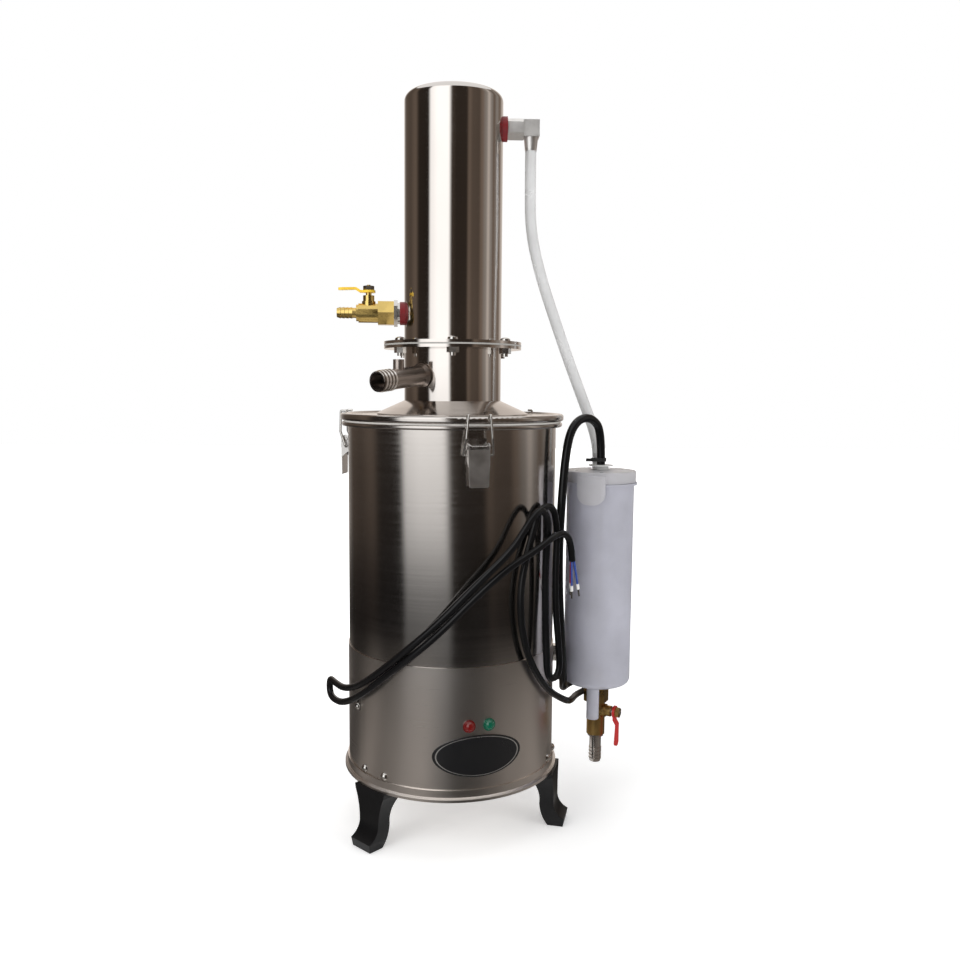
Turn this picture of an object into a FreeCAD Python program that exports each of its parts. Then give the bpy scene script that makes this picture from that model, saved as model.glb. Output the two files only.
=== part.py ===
import FreeCAD
import Part
import Sketcher

import math
import os

# An electric water distiller: a boiler drum on three legs, a lid with a neck,
# a water-cooled condenser on top, and a level cup that feeds the boiler.
#
# Millimetres, +Z up. The origin is on the drum's axis at floor level.
# An azimuth is counted from the front (-Y) and is positive to the right (+X).

# Driving dimensions

DRIVING_DIMENSIONS = {
    "Fits": {
        "wall_gap": 0.2,
        "seat_gap": 0.3,
        "shaft_gap": 0.05,
    },
    "Drum": {
        "drum_radius": 110.0,
        "drum_wall": 1.2,
        "pot_floor_level": 158.0,
        "pot_floor_thickness": 1.5,
        "pot_corner_radius": 6.0,
        "pot_rim_level": 425.7,
        "pot_rim_height": 4.5,
        "pot_rim_beyond": 6.5,
        "pot_rim_rounding": 1.8,
    },
    "Skirt": {
        "leg_height": 60.0,
        "skirt_wall": 0.7,
        "skirt_top_level": 194.3,
        "hoop_height": 11.0,
        "hoop_wall": 1.4,
        "hoop_lip_beyond": 5.3,
        "hoop_lip_height": 2.6,
        "cover_thickness": 1.2,
        "vent_slot_length": 40.0,
        "vent_slot_width": 4.0,
        "vent_slot_pitch": 12.0,
    },
    "Legs": {
        "first_leg_azimuth": -45.0,
        "leg_spacing": 120.0,
        "leg_top_beyond": 7.0,
        "leg_top_inside": 20.0,
        "leg_top_thickness": 5.0,
        "leg_top_width": 45.0,
        "leg_shank_beyond": 7.5,
        "leg_shank_inside": 8.0,
        "leg_shank_width": 29.0,
        "leg_shank_level": 24.0,
        "leg_toe_beyond": 19.0,
        "leg_toe_level": 9.0,
        "leg_heel_beyond": 1.0,
        "leg_inner_bulge": 2.0,
        "leg_heel_bulge": 1.5,
        "leg_toe_bulge": 2.5,
        "leg_edge_inset": 1.0,
        "leg_foot_width": 27.0,
        "leg_tab_thickness": 4.0,
        "leg_tab_width": 34.0,
        "leg_tab_height": 24.0,
        "leg_screw_spread": 30.0,
        "leg_screw_rise": 15.6,
        "leg_screw_radius": 2.0,
        "leg_screw_head_radius": 4.2,
        "leg_screw_head_height": 3.2,
        "leg_screw_length": 9.0,
    },
    "Lid": {
        "seal_thickness": 1.4,
        "seal_width": 6.0,
        "lid_wall": 1.2,
        "lid_rim_beyond": 7.9,
        "lid_rim_height": 7.3,
        "lid_rim_rounding": 2.6,
        "lid_flat_inset": 30.0,
        "lid_step_height": 1.6,
        "neck_joint_level": 452.1,
    },
    "Neck": {
        "neck_radius": 51.0,
        "neck_wall": 1.2,
        "flange_radius": 72.3,
        "flange_thickness": 3.0,
        "flange_underside_level": 505.7,
        "gasket_thickness": 1.6,
        "bolt_circle_radius": 62.0,
        "bolt_count": 6,
        "bolt_radius": 3.0,
        "bolt_hole_radius": 3.3,
        "bolt_head_radius": 5.6,
        "bolt_head_height": 4.0,
        "bolt_nut_height": 5.0,
        "bolt_tip": 3.0,
    },
    "Condenser": {
        "condenser_radius": 51.0,
        "condenser_wall": 1.2,
        "condenser_shoulder_level": 757.0,
        "cap_knuckle": 7.8,
        "cap_crown": 3.4,
        "steam_tube_radius": 8.0,
        "steam_tube_wall": 0.8,
        "steam_tube_count": 8,
        "steam_tube_circle": 34.0,
        "steam_tube_top": 728.0,
        "tube_plate_thickness": 3.0,
        "tube_plate_rise": 4.0,
        "gutter_level": 463.0,
        "gutter_wall": 1.0,
        "gutter_height": 30.0,
        "chimney_radius": 23.0,
        "chimney_height": 38.0,
    },
    "Distillate": {
        "spout_azimuth": -37.0,
        "spout_slope": 6.0,
        "spout_radius": 10.0,
        "spout_wall": 1.2,
        "spout_start": 46.0,
        "spout_reach": 119.5,
        "spout_mouth_level": 471.0,
        "spout_barb_height": 0.8,
        "spout_barb_pitch": 4.6,
        "spout_barb_count": 4,
        "spout_collar_radius": 12.5,
        "spout_collar_length": 4.0,
        "spout_collar_gap": 2.2,
        "vent_reach": 88.0,
        "vent_radius": 5.5,
        "vent_bore": 4.3,
        "vent_top_level": 493.0,
    },
    "Inlet": {
        "inlet_azimuth": -87.0,
        "inlet_level": 542.6,
        "inlet_ball_reach": 88.0,
        "inlet_gasket_radius": 12.0,
        "inlet_gasket_length": 4.6,
        "inlet_collar_radius": 11.0,
        "inlet_collar_length": 2.4,
        "inlet_nut_across": 24.0,
        "inlet_nut_length": 3.8,
    },
    "Valve": {
        "valve_bore": 4.5,
        "valve_ball_radius": 6.6,
        "valve_body_radius": 10.0,
        "valve_body_length": 10.6,
        "valve_hex_across": 24.0,
        "valve_hex_length": 15.0,
        "valve_thread_radius": 8.0,
        "valve_thread_reach": 7.0,
        "valve_stem_radius": 3.0,
        "valve_bonnet_radius": 5.9,
        "valve_bonnet_top": 18.0,
        "valve_lever_level": 21.0,
        "valve_lever_thickness": 2.4,
        "valve_lever_hub": 7.0,
        "valve_lever_width": 9.0,
        "valve_lever_rise": 3.0,
        "valve_nut_across": 10.0,
        "valve_nut_height": 4.5,
        "valve_stem_top": 29.0,
        "inlet_lever_length": 31.5,
        "inlet_barb_length": 22.5,
        "inlet_barb_radius": 5.3,
        "inlet_barb_bore": 3.5,
        "barb_height": 0.7,
        "barb_pitch": 4.0,
        "barb_count": 4,
        "barb_thread_length": 3.6,
    },
    "Outlet": {
        "outlet_azimuth": 90.0,
        "outlet_level": 732.0,
        "outlet_gasket_radius": 12.5,
        "outlet_gasket_length": 4.4,
        "outlet_nipple_across": 19.0,
        "outlet_nipple_end": 71.6,
        "outlet_thread_radius": 7.0,
        "outlet_bore": 4.0,
        "outlet_elbow_side": 16.6,
        "outlet_elbow_reach": 79.9,
        "outlet_tail_radius": 7.4,
        "outlet_tail_tip_radius": 6.0,
        "outlet_tail_length": 13.6,
        "outlet_barb_radius": 3.7,
        "outlet_barb_length": 12.0,
    },
    "Cup": {
        "cup_gap": 14.0,
        "cup_radius": 36.0,
        "cup_wall": 2.0,
        "cup_floor_level": 145.5,
        "cup_floor_thickness": 2.5,
        "cup_corner_radius": 7.0,
        "cup_flange_level": 364.0,
        "cup_flange_thickness": 2.6,
        "cup_flange_radius": 39.0,
        "cup_lip_height": 6.0,
        "cup_lid_radius": 37.6,
        "cup_lid_top_level": 379.6,
        "cup_lid_wall": 1.8,
        "cup_lid_rounding": 2.0,
        "cup_tab_azimuth": -24.0,
        "cup_tab_width": 30.0,
        "cup_tab_drop": 19.0,
        "cup_tab_corner": 12.0,
        "cup_spout_x": -6.0,
        "cup_spout_y": -16.0,
        "cup_spout_radius": 6.7,
        "cup_spout_wall": 1.6,
        "cup_spout_end_level": 109.0,
        "lid_nozzle_offset": 23.0,
        "lid_nozzle_radius": 3.9,
        "lid_nozzle_bore": 2.6,
        "lid_nozzle_height": 18.0,
    },
    "Probe": {
        "gland_radius": 8.4,
        "gland_height": 5.0,
        "gland_disc_radius": 13.0,
        "gland_disc_thickness": 1.2,
        "gland_shank_radius": 5.0,
        "gland_nut_radius": 9.0,
        "gland_nut_height": 4.0,
        "probe_stem_radius": 3.0,
        "probe_stem_end_level": 205.0,
        "probe_stop_radius": 6.5,
        "probe_stop_height": 2.5,
        "float_radius": 13.0,
        "float_height": 24.0,
        "float_travel": 16.0,
    },
    "Feed": {
        "feed_level": 178.0,
        "feed_radius": 6.0,
        "feed_bore": 4.0,
        "feed_nut_across": 17.0,
        "feed_nut_length": 3.6,
        "feed_reach_inside": 8.0,
    },
    "Drain": {
        "drain_x": 1.5,
        "drain_y": 8.0,
        "drain_ball_level": 110.8,
        "drain_stem_azimuth": 60.0,
        "drain_gasket_thickness": 1.6,
        "drain_lever_length": 38.0,
        "drain_barb_length": 32.0,
        "drain_barb_radius": 6.4,
        "drain_barb_bore": 4.2,
    },
    "Latch": {
        "first_latch_azimuth": 12.4,
        "latch_spacing": 123.3,
        "latch_pivot_beyond": 5.5,
        "latch_pivot_level": 410.0,
        "latch_bar_inset": 1.5,
        "latch_bar_drop": 8.0,
        "latch_pin_radius": 1.5,
        "latch_plate_thickness": 1.0,
        "latch_plate_width": 18.0,
        "latch_plate_above": 8.0,
        "latch_plate_below": 20.0,
        "latch_ear_radius": 3.0,
        "latch_ear_thickness": 1.2,
        "latch_lever_width": 21.0,
        "latch_lever_tip_width": 19.0,
        "latch_lever_face": 3.5,
        "latch_lever_top": 2.0,
        "latch_lever_length": 36.3,
        "latch_lever_side": 13.0,
        "latch_lever_side_radius": 4.2,
        "latch_wire_radius": 1.2,
        "latch_wire_half_width": 14.8,
        "latch_wire_top_half_width": 10.8,
        "latch_wire_clearance": 0.8,
        "latch_hook_inset": 6.0,
    },
    "Panel": {
        "lamp_level": 136.0,
        "red_lamp_azimuth": 9.2,
        "green_lamp_azimuth": 19.7,
        "lamp_radius": 6.2,
        "lamp_dome": 4.4,
        "lamp_rim": 1.2,
        "lamp_shank_radius": 4.8,
        "lamp_shank_length": 18.0,
        "badge_azimuth": 14.5,
        "badge_level": 105.0,
        "badge_width": 91.0,
        "badge_height": 42.0,
        "badge_thickness": 1.0,
    },
    "Cords": {
        "hose_radius": 5.75,
        "hose_bore": 4.2,
        "mains_cord_radius": 3.5,
        "probe_cable_radius": 4.5,
        "cord_gland_azimuth": 125.0,
        "mains_gland_level": 121.0,
        "probe_gland_level": 147.0,
        "cord_gland_shank_radius": 6.0,
        "cord_gland_shank_length": 9.0,
        "cord_gland_flange_radius": 9.0,
        "cord_gland_flange_length": 4.0,
        "cord_gland_length": 28.0,
        "cord_tie_level": 388.0,
        "cord_tie_width": 4.0,
        "cord_tie_thickness": 1.2,
        "cord_tie_head": 5.0,
        "cord_tie_tail": 7.0,
        "cord_clip_azimuth": -59.0,
        "cord_clip_level": 138.0,
        "cord_clip_width": 8.0,
        "cord_clip_thickness": 1.0,
        "wire_radius": 1.2,
        "wire_length": 26.0,
        "ferrule_radius": 0.9,
        "ferrule_collar_radius": 1.7,
        "ferrule_collar_length": 6.0,
        "ferrule_length": 8.0,
    },
    "Heater": {
        "heater_tube_radius": 4.2,
        "heater_level": 178.0,
        "heater_tail_level": 132.0,
        "heater_offset": 52.0,
        "heater_half_width": 34.0,
        "heater_loop_end": 46.0,
        "heater_bend": 16.0,
        "heater_nut_radius": 9.0,
        "heater_nut_height": 5.0,
    },
}

document = FreeCAD.newDocument("water_distiller")
sheet = document.addObject("Spreadsheet::Sheet", "sheet")


class Size:
    """A size known both as a number and as a formula on the sheet."""

    def __init__(self, number, formula):
        self.number = float(number)
        self.formula = formula

    def __float__(self):
        return self.number

    def __add__(self, other):
        other = as_size(other)
        return Size(self.number + other.number, f"({self.formula} + {other.formula})")

    def __sub__(self, other):
        other = as_size(other)
        return Size(self.number - other.number, f"({self.formula} - {other.formula})")

    def __mul__(self, other):
        other = as_size(other)
        return Size(self.number * other.number, f"({self.formula} * {other.formula})")

    def __truediv__(self, other):
        other = as_size(other)
        return Size(self.number / other.number, f"({self.formula} / {other.formula})")

    def __neg__(self):
        return Size(-self.number, f"(0 - {self.formula})")

    __radd__ = __add__
    __rmul__ = __mul__

    def __rsub__(self, other):
        return as_size(other) - self


def as_size(value):
    return value if isinstance(value, Size) else Size(value, repr(float(value)))


def sine(angle):
    angle = as_size(angle)
    return Size(math.sin(math.radians(angle.number)), f"sin({angle.formula})")


def cosine(angle):
    angle = as_size(angle)
    return Size(math.cos(math.radians(angle.number)), f"cos({angle.formula})")


def root(value):
    return Size(math.sqrt(value.number), f"sqrt({value.formula})")


def crown_drop(half_width, rise):
    """How far a ball-shaped crown has dropped from its peak halfway to its edge."""
    ball = (half_width * half_width + rise * rise) / (rise * 2.0)
    return ball - root(ball * ball - half_width * half_width / 4.0)


class Sizes:
    """The sheet's cells, each reached by its alias."""


def fill_sheet():
    row = 1
    for heading, cells in DRIVING_DIMENSIONS.items():
        sheet.set(f"A{row}", heading)
        row += 1
        for alias, value in cells.items():
            sheet.set(f"A{row}", alias)
            sheet.set(f"B{row}", repr(value))
            sheet.setAlias(f"B{row}", alias)
            setattr(Sizes, alias, Size(value, f"sheet.{alias}"))
            row += 1
    document.recompute()


fill_sheet()
S = Sizes

# Places that several sub-parts share

HALF_TURN = 180.0
FULL_TURN = 360.0
RIGHT_ANGLE = 90.0

pot_rim_radius = S.drum_radius + S.pot_rim_beyond
lid_rim_radius = S.drum_radius + S.lid_rim_beyond
lid_flat_inner = S.drum_radius - S.lid_flat_inset
hoop_lip_radius = S.drum_radius + S.hoop_lip_beyond
leg_toe_outer = S.drum_radius + S.leg_toe_beyond
leg_screw_level = S.leg_height + S.leg_screw_rise
latch_pivot_reach = S.drum_radius + S.latch_pivot_beyond
cup_offset = S.drum_radius + S.cup_gap + S.cup_radius
skirt_inner = S.drum_radius + S.wall_gap
skirt_outer = skirt_inner + S.skirt_wall
pot_rim_top = S.pot_rim_level + S.pot_rim_height
lid_rim_bottom = pot_rim_top + S.seal_thickness
lid_rim_top = lid_rim_bottom + S.lid_rim_height
neck_flange_top = S.flange_underside_level + S.flange_thickness
condenser_bottom = neck_flange_top + S.gasket_thickness
condenser_flange_top = condenser_bottom + S.flange_thickness
condenser_top = S.condenser_shoulder_level + S.cap_knuckle + S.cap_crown
neck_inner = S.neck_radius - S.neck_wall
condenser_inner = S.condenser_radius - S.condenser_wall
valve_seat_reach = S.condenser_radius + S.inlet_gasket_length

# Makers of document objects

made_count = 0


def fresh_name(kind):
    global made_count
    made_count += 1
    return f"{kind}_{made_count}"


def bind(item, prop, value):
    item.setExpression(prop, as_size(value).formula)


def put(item, base=(0.0, 0.0, 0.0), rotation=None):
    """Places an item: its base follows the sheet, its turn is a Rotation."""
    base = [as_size(part) for part in base]
    rotation = rotation or FreeCAD.Rotation()
    item.Placement = FreeCAD.Placement(FreeCAD.Vector(*[float(part) for part in base]), rotation)
    for axis, part in zip("xyz", base):
        item.setExpression(f"Placement.Base.{axis}", part.formula)
    return item


def placed(item, placement):
    """Places an item at a placement worked out from several sizes."""
    for axis in "xyz":
        item.setExpression(f"Placement.Base.{axis}", None)
    item.Placement = placement
    return item


def about_z(angle):
    return FreeCAD.Rotation(FreeCAD.Vector(0, 0, 1), float(angle))


def toward(azimuth):
    """The turn about Z that takes local +X to an azimuth seen from the front."""
    return about_z(float(azimuth) - RIGHT_ANGLE)


def origin_plane(body, role):
    for feature in body.Origin.OriginFeatures:
        if feature.Role == role:
            return feature
    raise ValueError(role)


def hold(sketch, geometry, position, point):
    """Fixes a sketch point at two sizes measured from the sketch's origin."""
    for kind, value in zip(("DistanceX", "DistanceY"), point):
        value = as_size(value)
        if value.number == 0.0 and value.formula == "0.0":
            axis = -2 if kind == "DistanceX" else -1
            sketch.addConstraint(Sketcher.Constraint("PointOnObject", geometry, position, axis))
            continue
        row = sketch.addConstraint(Sketcher.Constraint(kind, -1, 1, geometry, position, value.number))
        sketch.setExpression(f"Constraints[{row}]", value.formula)


def vector(point):
    return FreeCAD.Vector(float(point[0]), float(point[1]), 0)


def draw_outline(sketch, points):
    """A closed outline. A point of four sizes ends an arc through its last two."""
    count = len(points)
    edges = []
    for index in range(count):
        start = points[index]
        end = points[(index + 1) % count]
        if len(end) == 2:
            edge = Part.LineSegment(vector(start), vector(end))
            edges.append((sketch.addGeometry(edge, False), 1, 2))
            continue
        middle = vector(end[2:])
        turns_left = (middle - vector(start)).cross(vector(end) - middle).z > 0
        if turns_left:
            row = sketch.addGeometry(Part.Arc(vector(start), middle, vector(end)), False)
            edges.append((row, 1, 2))
        else:
            row = sketch.addGeometry(Part.Arc(vector(end), middle, vector(start)), False)
            edges.append((row, 2, 1))
        through = sketch.addGeometry(Part.Point(vector(end[2:])), True)
        hold(sketch, through, 1, end[2:])
        sketch.addConstraint(Sketcher.Constraint("PointOnObject", through, 1, row))
    for index in range(count):
        row, first, _ = edges[index]
        before, _, before_last = edges[index - 1]
        sketch.addConstraint(Sketcher.Constraint("Coincident", before, before_last, row, first))
        hold(sketch, row, first, points[index][:2])


def draw_circle(sketch, centre, radius):
    radius = as_size(radius)
    circle = Part.Circle(vector(centre), FreeCAD.Vector(0, 0, 1), radius.number)
    row = sketch.addGeometry(circle, False)
    hold(sketch, row, 3, centre)
    rule = sketch.addConstraint(Sketcher.Constraint("Radius", row, radius.number))
    sketch.setExpression(f"Constraints[{rule}]", radius.formula)


def new_sketch(body, role, outlines=(), circles=()):
    sketch = body.newObject("Sketcher::SketchObject", fresh_name("sketch"))
    sketch.AttachmentSupport = (origin_plane(body, role), [""])
    sketch.MapMode = "FlatFace"
    for points in outlines:
        draw_outline(sketch, points)
    for centre, radius in circles:
        draw_circle(sketch, centre, radius)
    return sketch


def new_body(label):
    body = document.addObject("PartDesign::Body", fresh_name("body"))
    body.Label = label
    return body


def turned(label, outline, axis="V_Axis"):
    """A body turned about Z (V_Axis) or about X (H_Axis) from an XZ outline."""
    body = new_body(label)
    sketch = new_sketch(body, "XZ_Plane", [outline])
    turn = body.newObject("PartDesign::Revolution", fresh_name("turn"))
    turn.Profile = (sketch, [""])
    turn.ReferenceAxis = (sketch, [axis])
    turn.Angle = FULL_TURN
    body.Tip = turn
    document.recompute()
    return body


def padded(label, role, length, outlines=(), circles=(), midplane=False, backward=False):
    """A body padded square to one of its origin planes."""
    body = new_body(label)
    sketch = new_sketch(body, role, outlines, circles)
    pad = body.newObject("PartDesign::Pad", fresh_name("pad"))
    pad.Profile = (sketch, [""])
    bind(pad, "Length", length)
    pad.Midplane = midplane
    pad.Reversed = backward
    body.Tip = pad
    document.recompute()
    return body


def rounded(corner, before, after, radius):
    """Two outline points that round a square corner. Before and after are the
    unit steps from the corner to the outline's neighbouring points."""
    bend = radius * (1.0 - math.cos(math.radians(RIGHT_ANGLE / 2)))
    first = (corner[0] + radius * before[0], corner[1] + radius * before[1])
    last = (corner[0] + radius * after[0], corner[1] + radius * after[1])
    middle = (corner[0] + bend * (before[0] + after[0]), corner[1] + bend * (before[1] + after[1]))
    return [first, last + middle]


LEFT = (-1.0, 0.0)
RIGHT = (1.0, 0.0)
UP = (0.0, 1.0)
DOWN = (0.0, -1.0)


def softened(body, radius, rings):
    """Rounds the circular edges of a turned body that lie at (radius, level)."""
    names = []
    base = body.Tip
    for index, edge in enumerate(base.Shape.Edges):
        curve = edge.Curve
        if not isinstance(curve, Part.Circle):
            continue
        for ring_radius, level in rings:
            near = abs(curve.Radius - float(ring_radius)) < 0.01 and abs(curve.Center.z - float(level)) < 0.01
            if near:
                names.append(f"Edge{index + 1}")
    fillet = body.newObject("PartDesign::Fillet", fresh_name("rounding"))
    fillet.Base = (base, names)
    bind(fillet, "Radius", radius)
    body.Tip = fillet
    document.recompute()
    return body


def cylinder(radius, length, base=(0.0, 0.0, 0.0), rotation=None):
    item = document.addObject("Part::Cylinder", fresh_name("cylinder"))
    bind(item, "Radius", radius)
    bind(item, "Height", length)
    return put(item, base, rotation)


def block(sizes, base=(0.0, 0.0, 0.0), rotation=None):
    item = document.addObject("Part::Box", fresh_name("block"))
    for prop, value in zip(("Length", "Width", "Height"), sizes):
        bind(item, prop, value)
    return put(item, base, rotation)


def joined(label, items):
    fuse = document.addObject("Part::MultiFuse", fresh_name("join"))
    fuse.Shapes = items
    fuse.Refine = True
    fuse.Label = label
    document.recompute()
    return fuse


def cut_from(label, base, tools):
    tool = tools[0] if len(tools) == 1 else joined(fresh_name("tools"), tools)
    cut = document.addObject("Part::Cut", fresh_name("cut"))
    cut.Base = base
    cut.Tool = tool
    cut.Label = label
    document.recompute()
    return cut


def shared(label, first, second):
    common = document.addObject("Part::Common", fresh_name("common"))
    common.Base = first
    common.Tool = second
    common.Label = label
    document.recompute()
    return common


def grouped(label, items):
    group = document.addObject("Part::Compound", fresh_name("group"))
    group.Links = items
    group.Label = label
    document.recompute()
    return group


def shaped(label, shape):
    """A sub-part that neither a body nor a primitive fits, such as a bent tube."""
    feature = document.addObject("Part::Feature", fresh_name("shape"))
    feature.Shape = shape
    feature.Label = label
    return feature


RADIAL = FreeCAD.Rotation(FreeCAD.Vector(0, 1, 0), RIGHT_ANGLE)
nodes = []


def keep(item):
    nodes.append(item)
    return item


def ring_circles(count, reach, radius, start=0.0):
    """Circles of one radius, evenly spaced round Z with their centres at a reach."""
    step = FULL_TURN / float(count)
    circles = []
    for index in range(int(float(count))):
        angle = as_size(start + index * step)
        circles.append(((reach * cosine(angle), reach * sine(angle)), radius))
    return circles


# Boiler drum


def make_boiler_pot():
    radius = S.drum_radius
    inside = radius - S.drum_wall
    floor = S.pot_floor_level
    inner_floor = floor + S.pot_floor_thickness
    pot = turned(
        "pot_wall",
        [
            (0.0, floor),
            *rounded((radius, floor), LEFT, UP, S.pot_corner_radius),
            (radius, S.pot_rim_level),
            *rounded((pot_rim_radius, S.pot_rim_level), LEFT, UP, S.pot_rim_rounding),
            *rounded((pot_rim_radius, pot_rim_top), DOWN, LEFT, S.pot_rim_rounding),
            (inside, pot_rim_top),
            *rounded((inside, inner_floor), UP, LEFT, S.pot_corner_radius - S.drum_wall),
            (0.0, inner_floor),
        ],
    )
    tools = [feed_hole(S.drum_radius)]
    for side in (-1.0, 1.0):
        tools.append(
            cylinder(
                S.heater_tube_radius + S.wall_gap,
                S.pot_floor_thickness * 3.0,
                (-S.heater_offset, S.heater_half_width * side, floor - S.pot_floor_thickness),
            )
        )
    return keep(cut_from("boiler_pot", pot, tools))


def feed_hole(reach):
    hole_radius = S.feed_radius + S.wall_gap
    return cylinder(hole_radius, hoop_lip_radius, (reach - S.pot_corner_radius * 2.0, 0.0, S.feed_level), RADIAL)


# Base: skirt, hoop, cover and legs


def radial_hole(radius, azimuth, level, start, length):
    base = (start * sine(azimuth), -start * cosine(azimuth), level)
    return cylinder(radius, length, base, toward(azimuth) * RADIAL)


def leg_azimuths():
    return [S.first_leg_azimuth + S.leg_spacing * float(index) for index in range(3)]


def leg_screw_azimuths(azimuth):
    half = S.leg_screw_spread / 2.0
    lean = math.degrees(math.asin(float(half) / float(skirt_outer)))
    return [azimuth - lean, azimuth + lean]


def make_base_skirt():
    bottom = S.leg_height + S.cover_thickness
    skirt = turned(
        "skirt_wall",
        [
            (skirt_inner, bottom),
            (skirt_outer, bottom),
            (skirt_outer, S.skirt_top_level),
            (skirt_inner, S.skirt_top_level),
        ],
    )
    start = skirt_inner - S.leg_tab_thickness
    length = S.leg_tab_thickness * 3.0
    tools = [feed_hole(skirt_inner)]
    for azimuth in leg_azimuths():
        for screw_azimuth in leg_screw_azimuths(azimuth):
            tools.append(radial_hole(S.leg_screw_radius + S.wall_gap, screw_azimuth, leg_screw_level, start, length))
    for azimuth in (S.red_lamp_azimuth, S.green_lamp_azimuth):
        tools.append(radial_hole(S.lamp_shank_radius + S.wall_gap, azimuth, S.lamp_level, start, length))
    for azimuth, level in cord_gland_places():
        tools.append(radial_hole(S.cord_gland_shank_radius + S.wall_gap, azimuth, level, start, length))
    clip_hole = S.leg_screw_radius + S.wall_gap
    tools.append(radial_hole(clip_hole, S.cord_clip_azimuth, S.cord_clip_level, start, length))
    return keep(cut_from("base_skirt", skirt, tools))


def make_base_hoop():
    inner = skirt_outer + S.wall_gap / 2.0
    top = S.leg_height + S.hoop_height
    lip_top = S.leg_height + S.hoop_lip_height
    hoop = turned(
        "base_hoop",
        [
            (inner, S.leg_height),
            (hoop_lip_radius, S.leg_height),
            (hoop_lip_radius, lip_top),
            (inner + S.hoop_wall, lip_top + S.hoop_wall),
            (inner + S.hoop_wall, top),
            (inner, top),
        ],
    )
    return keep(hoop)


def make_base_cover():
    tab_room = skirt_inner - S.leg_tab_thickness - S.seat_gap
    cover = padded("cover_disc", "XY_Plane", S.cover_thickness, circles=[((0.0, 0.0), skirt_inner)])
    put(cover, (0.0, 0.0, S.leg_height))
    tools = []
    notch_width = S.leg_tab_width + S.seat_gap * 2.0
    for azimuth in leg_azimuths():
        turn = toward(azimuth)
        corner = turn.multVec(FreeCAD.Vector(float(tab_room), -float(notch_width) / 2, 0))
        notch = block((hoop_lip_radius - tab_room, notch_width, S.leg_height))
        placed(notch, FreeCAD.Placement(corner + FreeCAD.Vector(0, 0, float(S.leg_height) / 2), turn))
        tools.append(notch)
    for index in range(-3, 4):
        middle = S.vent_slot_pitch * float(index)
        slot = block(
            (S.vent_slot_length, S.vent_slot_width, S.leg_height),
            (-S.vent_slot_length / 2.0, middle - S.vent_slot_width / 2.0, S.leg_height / 2.0),
        )
        tools.append(slot)
    return keep(cut_from("base_cover", cover, tools))


def make_leg(label, azimuth):
    top = S.leg_height
    shank = S.leg_shank_level
    tab_outer = skirt_inner - S.wall_gap
    tab_inner = tab_outer - S.leg_tab_thickness
    knee_level = (top + shank) / 2.0
    top_inner = S.drum_radius - S.leg_top_inside
    top_outer = S.drum_radius + S.leg_top_beyond
    shank_inner = S.drum_radius - S.leg_shank_inside
    shank_outer = S.drum_radius + S.leg_shank_beyond
    heel_inner = S.drum_radius + S.leg_heel_beyond
    inner_bulge = S.leg_inner_bulge
    heel_bulge = S.leg_heel_bulge
    toe_bulge = S.leg_toe_bulge
    ankle_level = (shank + S.leg_toe_level) / 2.0
    side = [
        (top_inner, top),
        (top_inner, top - S.leg_top_thickness),
        (shank_inner, shank, (top_inner + shank_inner) / 2.0 + inner_bulge, knee_level + inner_bulge * 1.5),
        (heel_inner, 0.0, (shank_inner + heel_inner) / 2.0 - heel_bulge, shank / 2.0 - heel_bulge),
        (leg_toe_outer - heel_bulge, 0.0),
        (leg_toe_outer, S.leg_toe_level),
        (shank_outer, shank, (shank_outer + leg_toe_outer) / 2.0 - toe_bulge, ankle_level - toe_bulge / 2.0),
        (top_outer, top),
    ]
    half = S.leg_top_width / 2.0
    shank_half = S.leg_shank_width / 2.0
    foot_half = S.leg_foot_width / 2.0
    waist = shank_half + (half - shank_half) / 3.5
    inset = S.leg_edge_inset
    front = [
        (-half, top),
        (-half + inset, top - S.leg_top_thickness),
        (-shank_half, shank, -waist, knee_level),
        (-foot_half - inset, S.leg_toe_level),
        (-foot_half, 0.0),
        (foot_half, 0.0),
        (foot_half + inset, S.leg_toe_level),
        (shank_half, shank),
        (half - inset, top - S.leg_top_thickness, waist, knee_level),
        (half, top),
    ]
    profile = padded("leg_side", "XZ_Plane", S.leg_top_width + 2.0, [side], midplane=True)
    outline = padded("leg_outline", "YZ_Plane", leg_toe_outer + 2.0, [front])
    casting = shared("leg_casting", profile, outline)
    tab = block(
        (S.leg_tab_thickness, S.leg_tab_width, S.leg_tab_height + S.leg_top_thickness),
        (tab_inner, -S.leg_tab_width / 2.0, top - S.leg_top_thickness),
    )
    curve = cylinder(tab_outer, S.leg_height * 2.0)
    curved_tab = shared("leg_tab", tab, curve)
    leg = joined("leg_with_tab", [casting, curved_tab])
    holes = []
    for screw_azimuth in leg_screw_azimuths(as_size(RIGHT_ANGLE)):
        start = tab_inner - S.leg_tab_thickness / 2.0
        length = S.leg_tab_thickness * 3.0
        holes.append(radial_hole(S.leg_screw_radius + S.shaft_gap, screw_azimuth, leg_screw_level, start, length))
    drilled = cut_from(label, leg, holes)
    return keep(put(drilled, rotation=toward(azimuth)))


def screw(radius, head_radius, head_height, length):
    """A dome-head screw along local +X: its head sits outside x = 0."""
    return turned(
        fresh_name("screw"),
        [
            (-length, 0.0),
            (-length, radius),
            (0.0, radius),
            (0.0, head_radius),
            (head_height, 0.0, head_height - crown_drop(head_radius, head_height), head_radius / 2.0),
        ],
        "H_Axis",
    )


def make_leg_screws():
    screws = []
    for azimuth in leg_azimuths():
        for screw_azimuth in leg_screw_azimuths(azimuth):
            item = screw(S.leg_screw_radius, S.leg_screw_head_radius, S.leg_screw_head_height, S.leg_screw_length)
            reach = skirt_outer + S.wall_gap / 2.0
            base = (reach * sine(screw_azimuth), -reach * cosine(screw_azimuth), leg_screw_level)
            screws.append(put(item, base, toward(screw_azimuth)))
    return keep(grouped("leg_screws", screws))


# Lid, seal and neck


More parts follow.
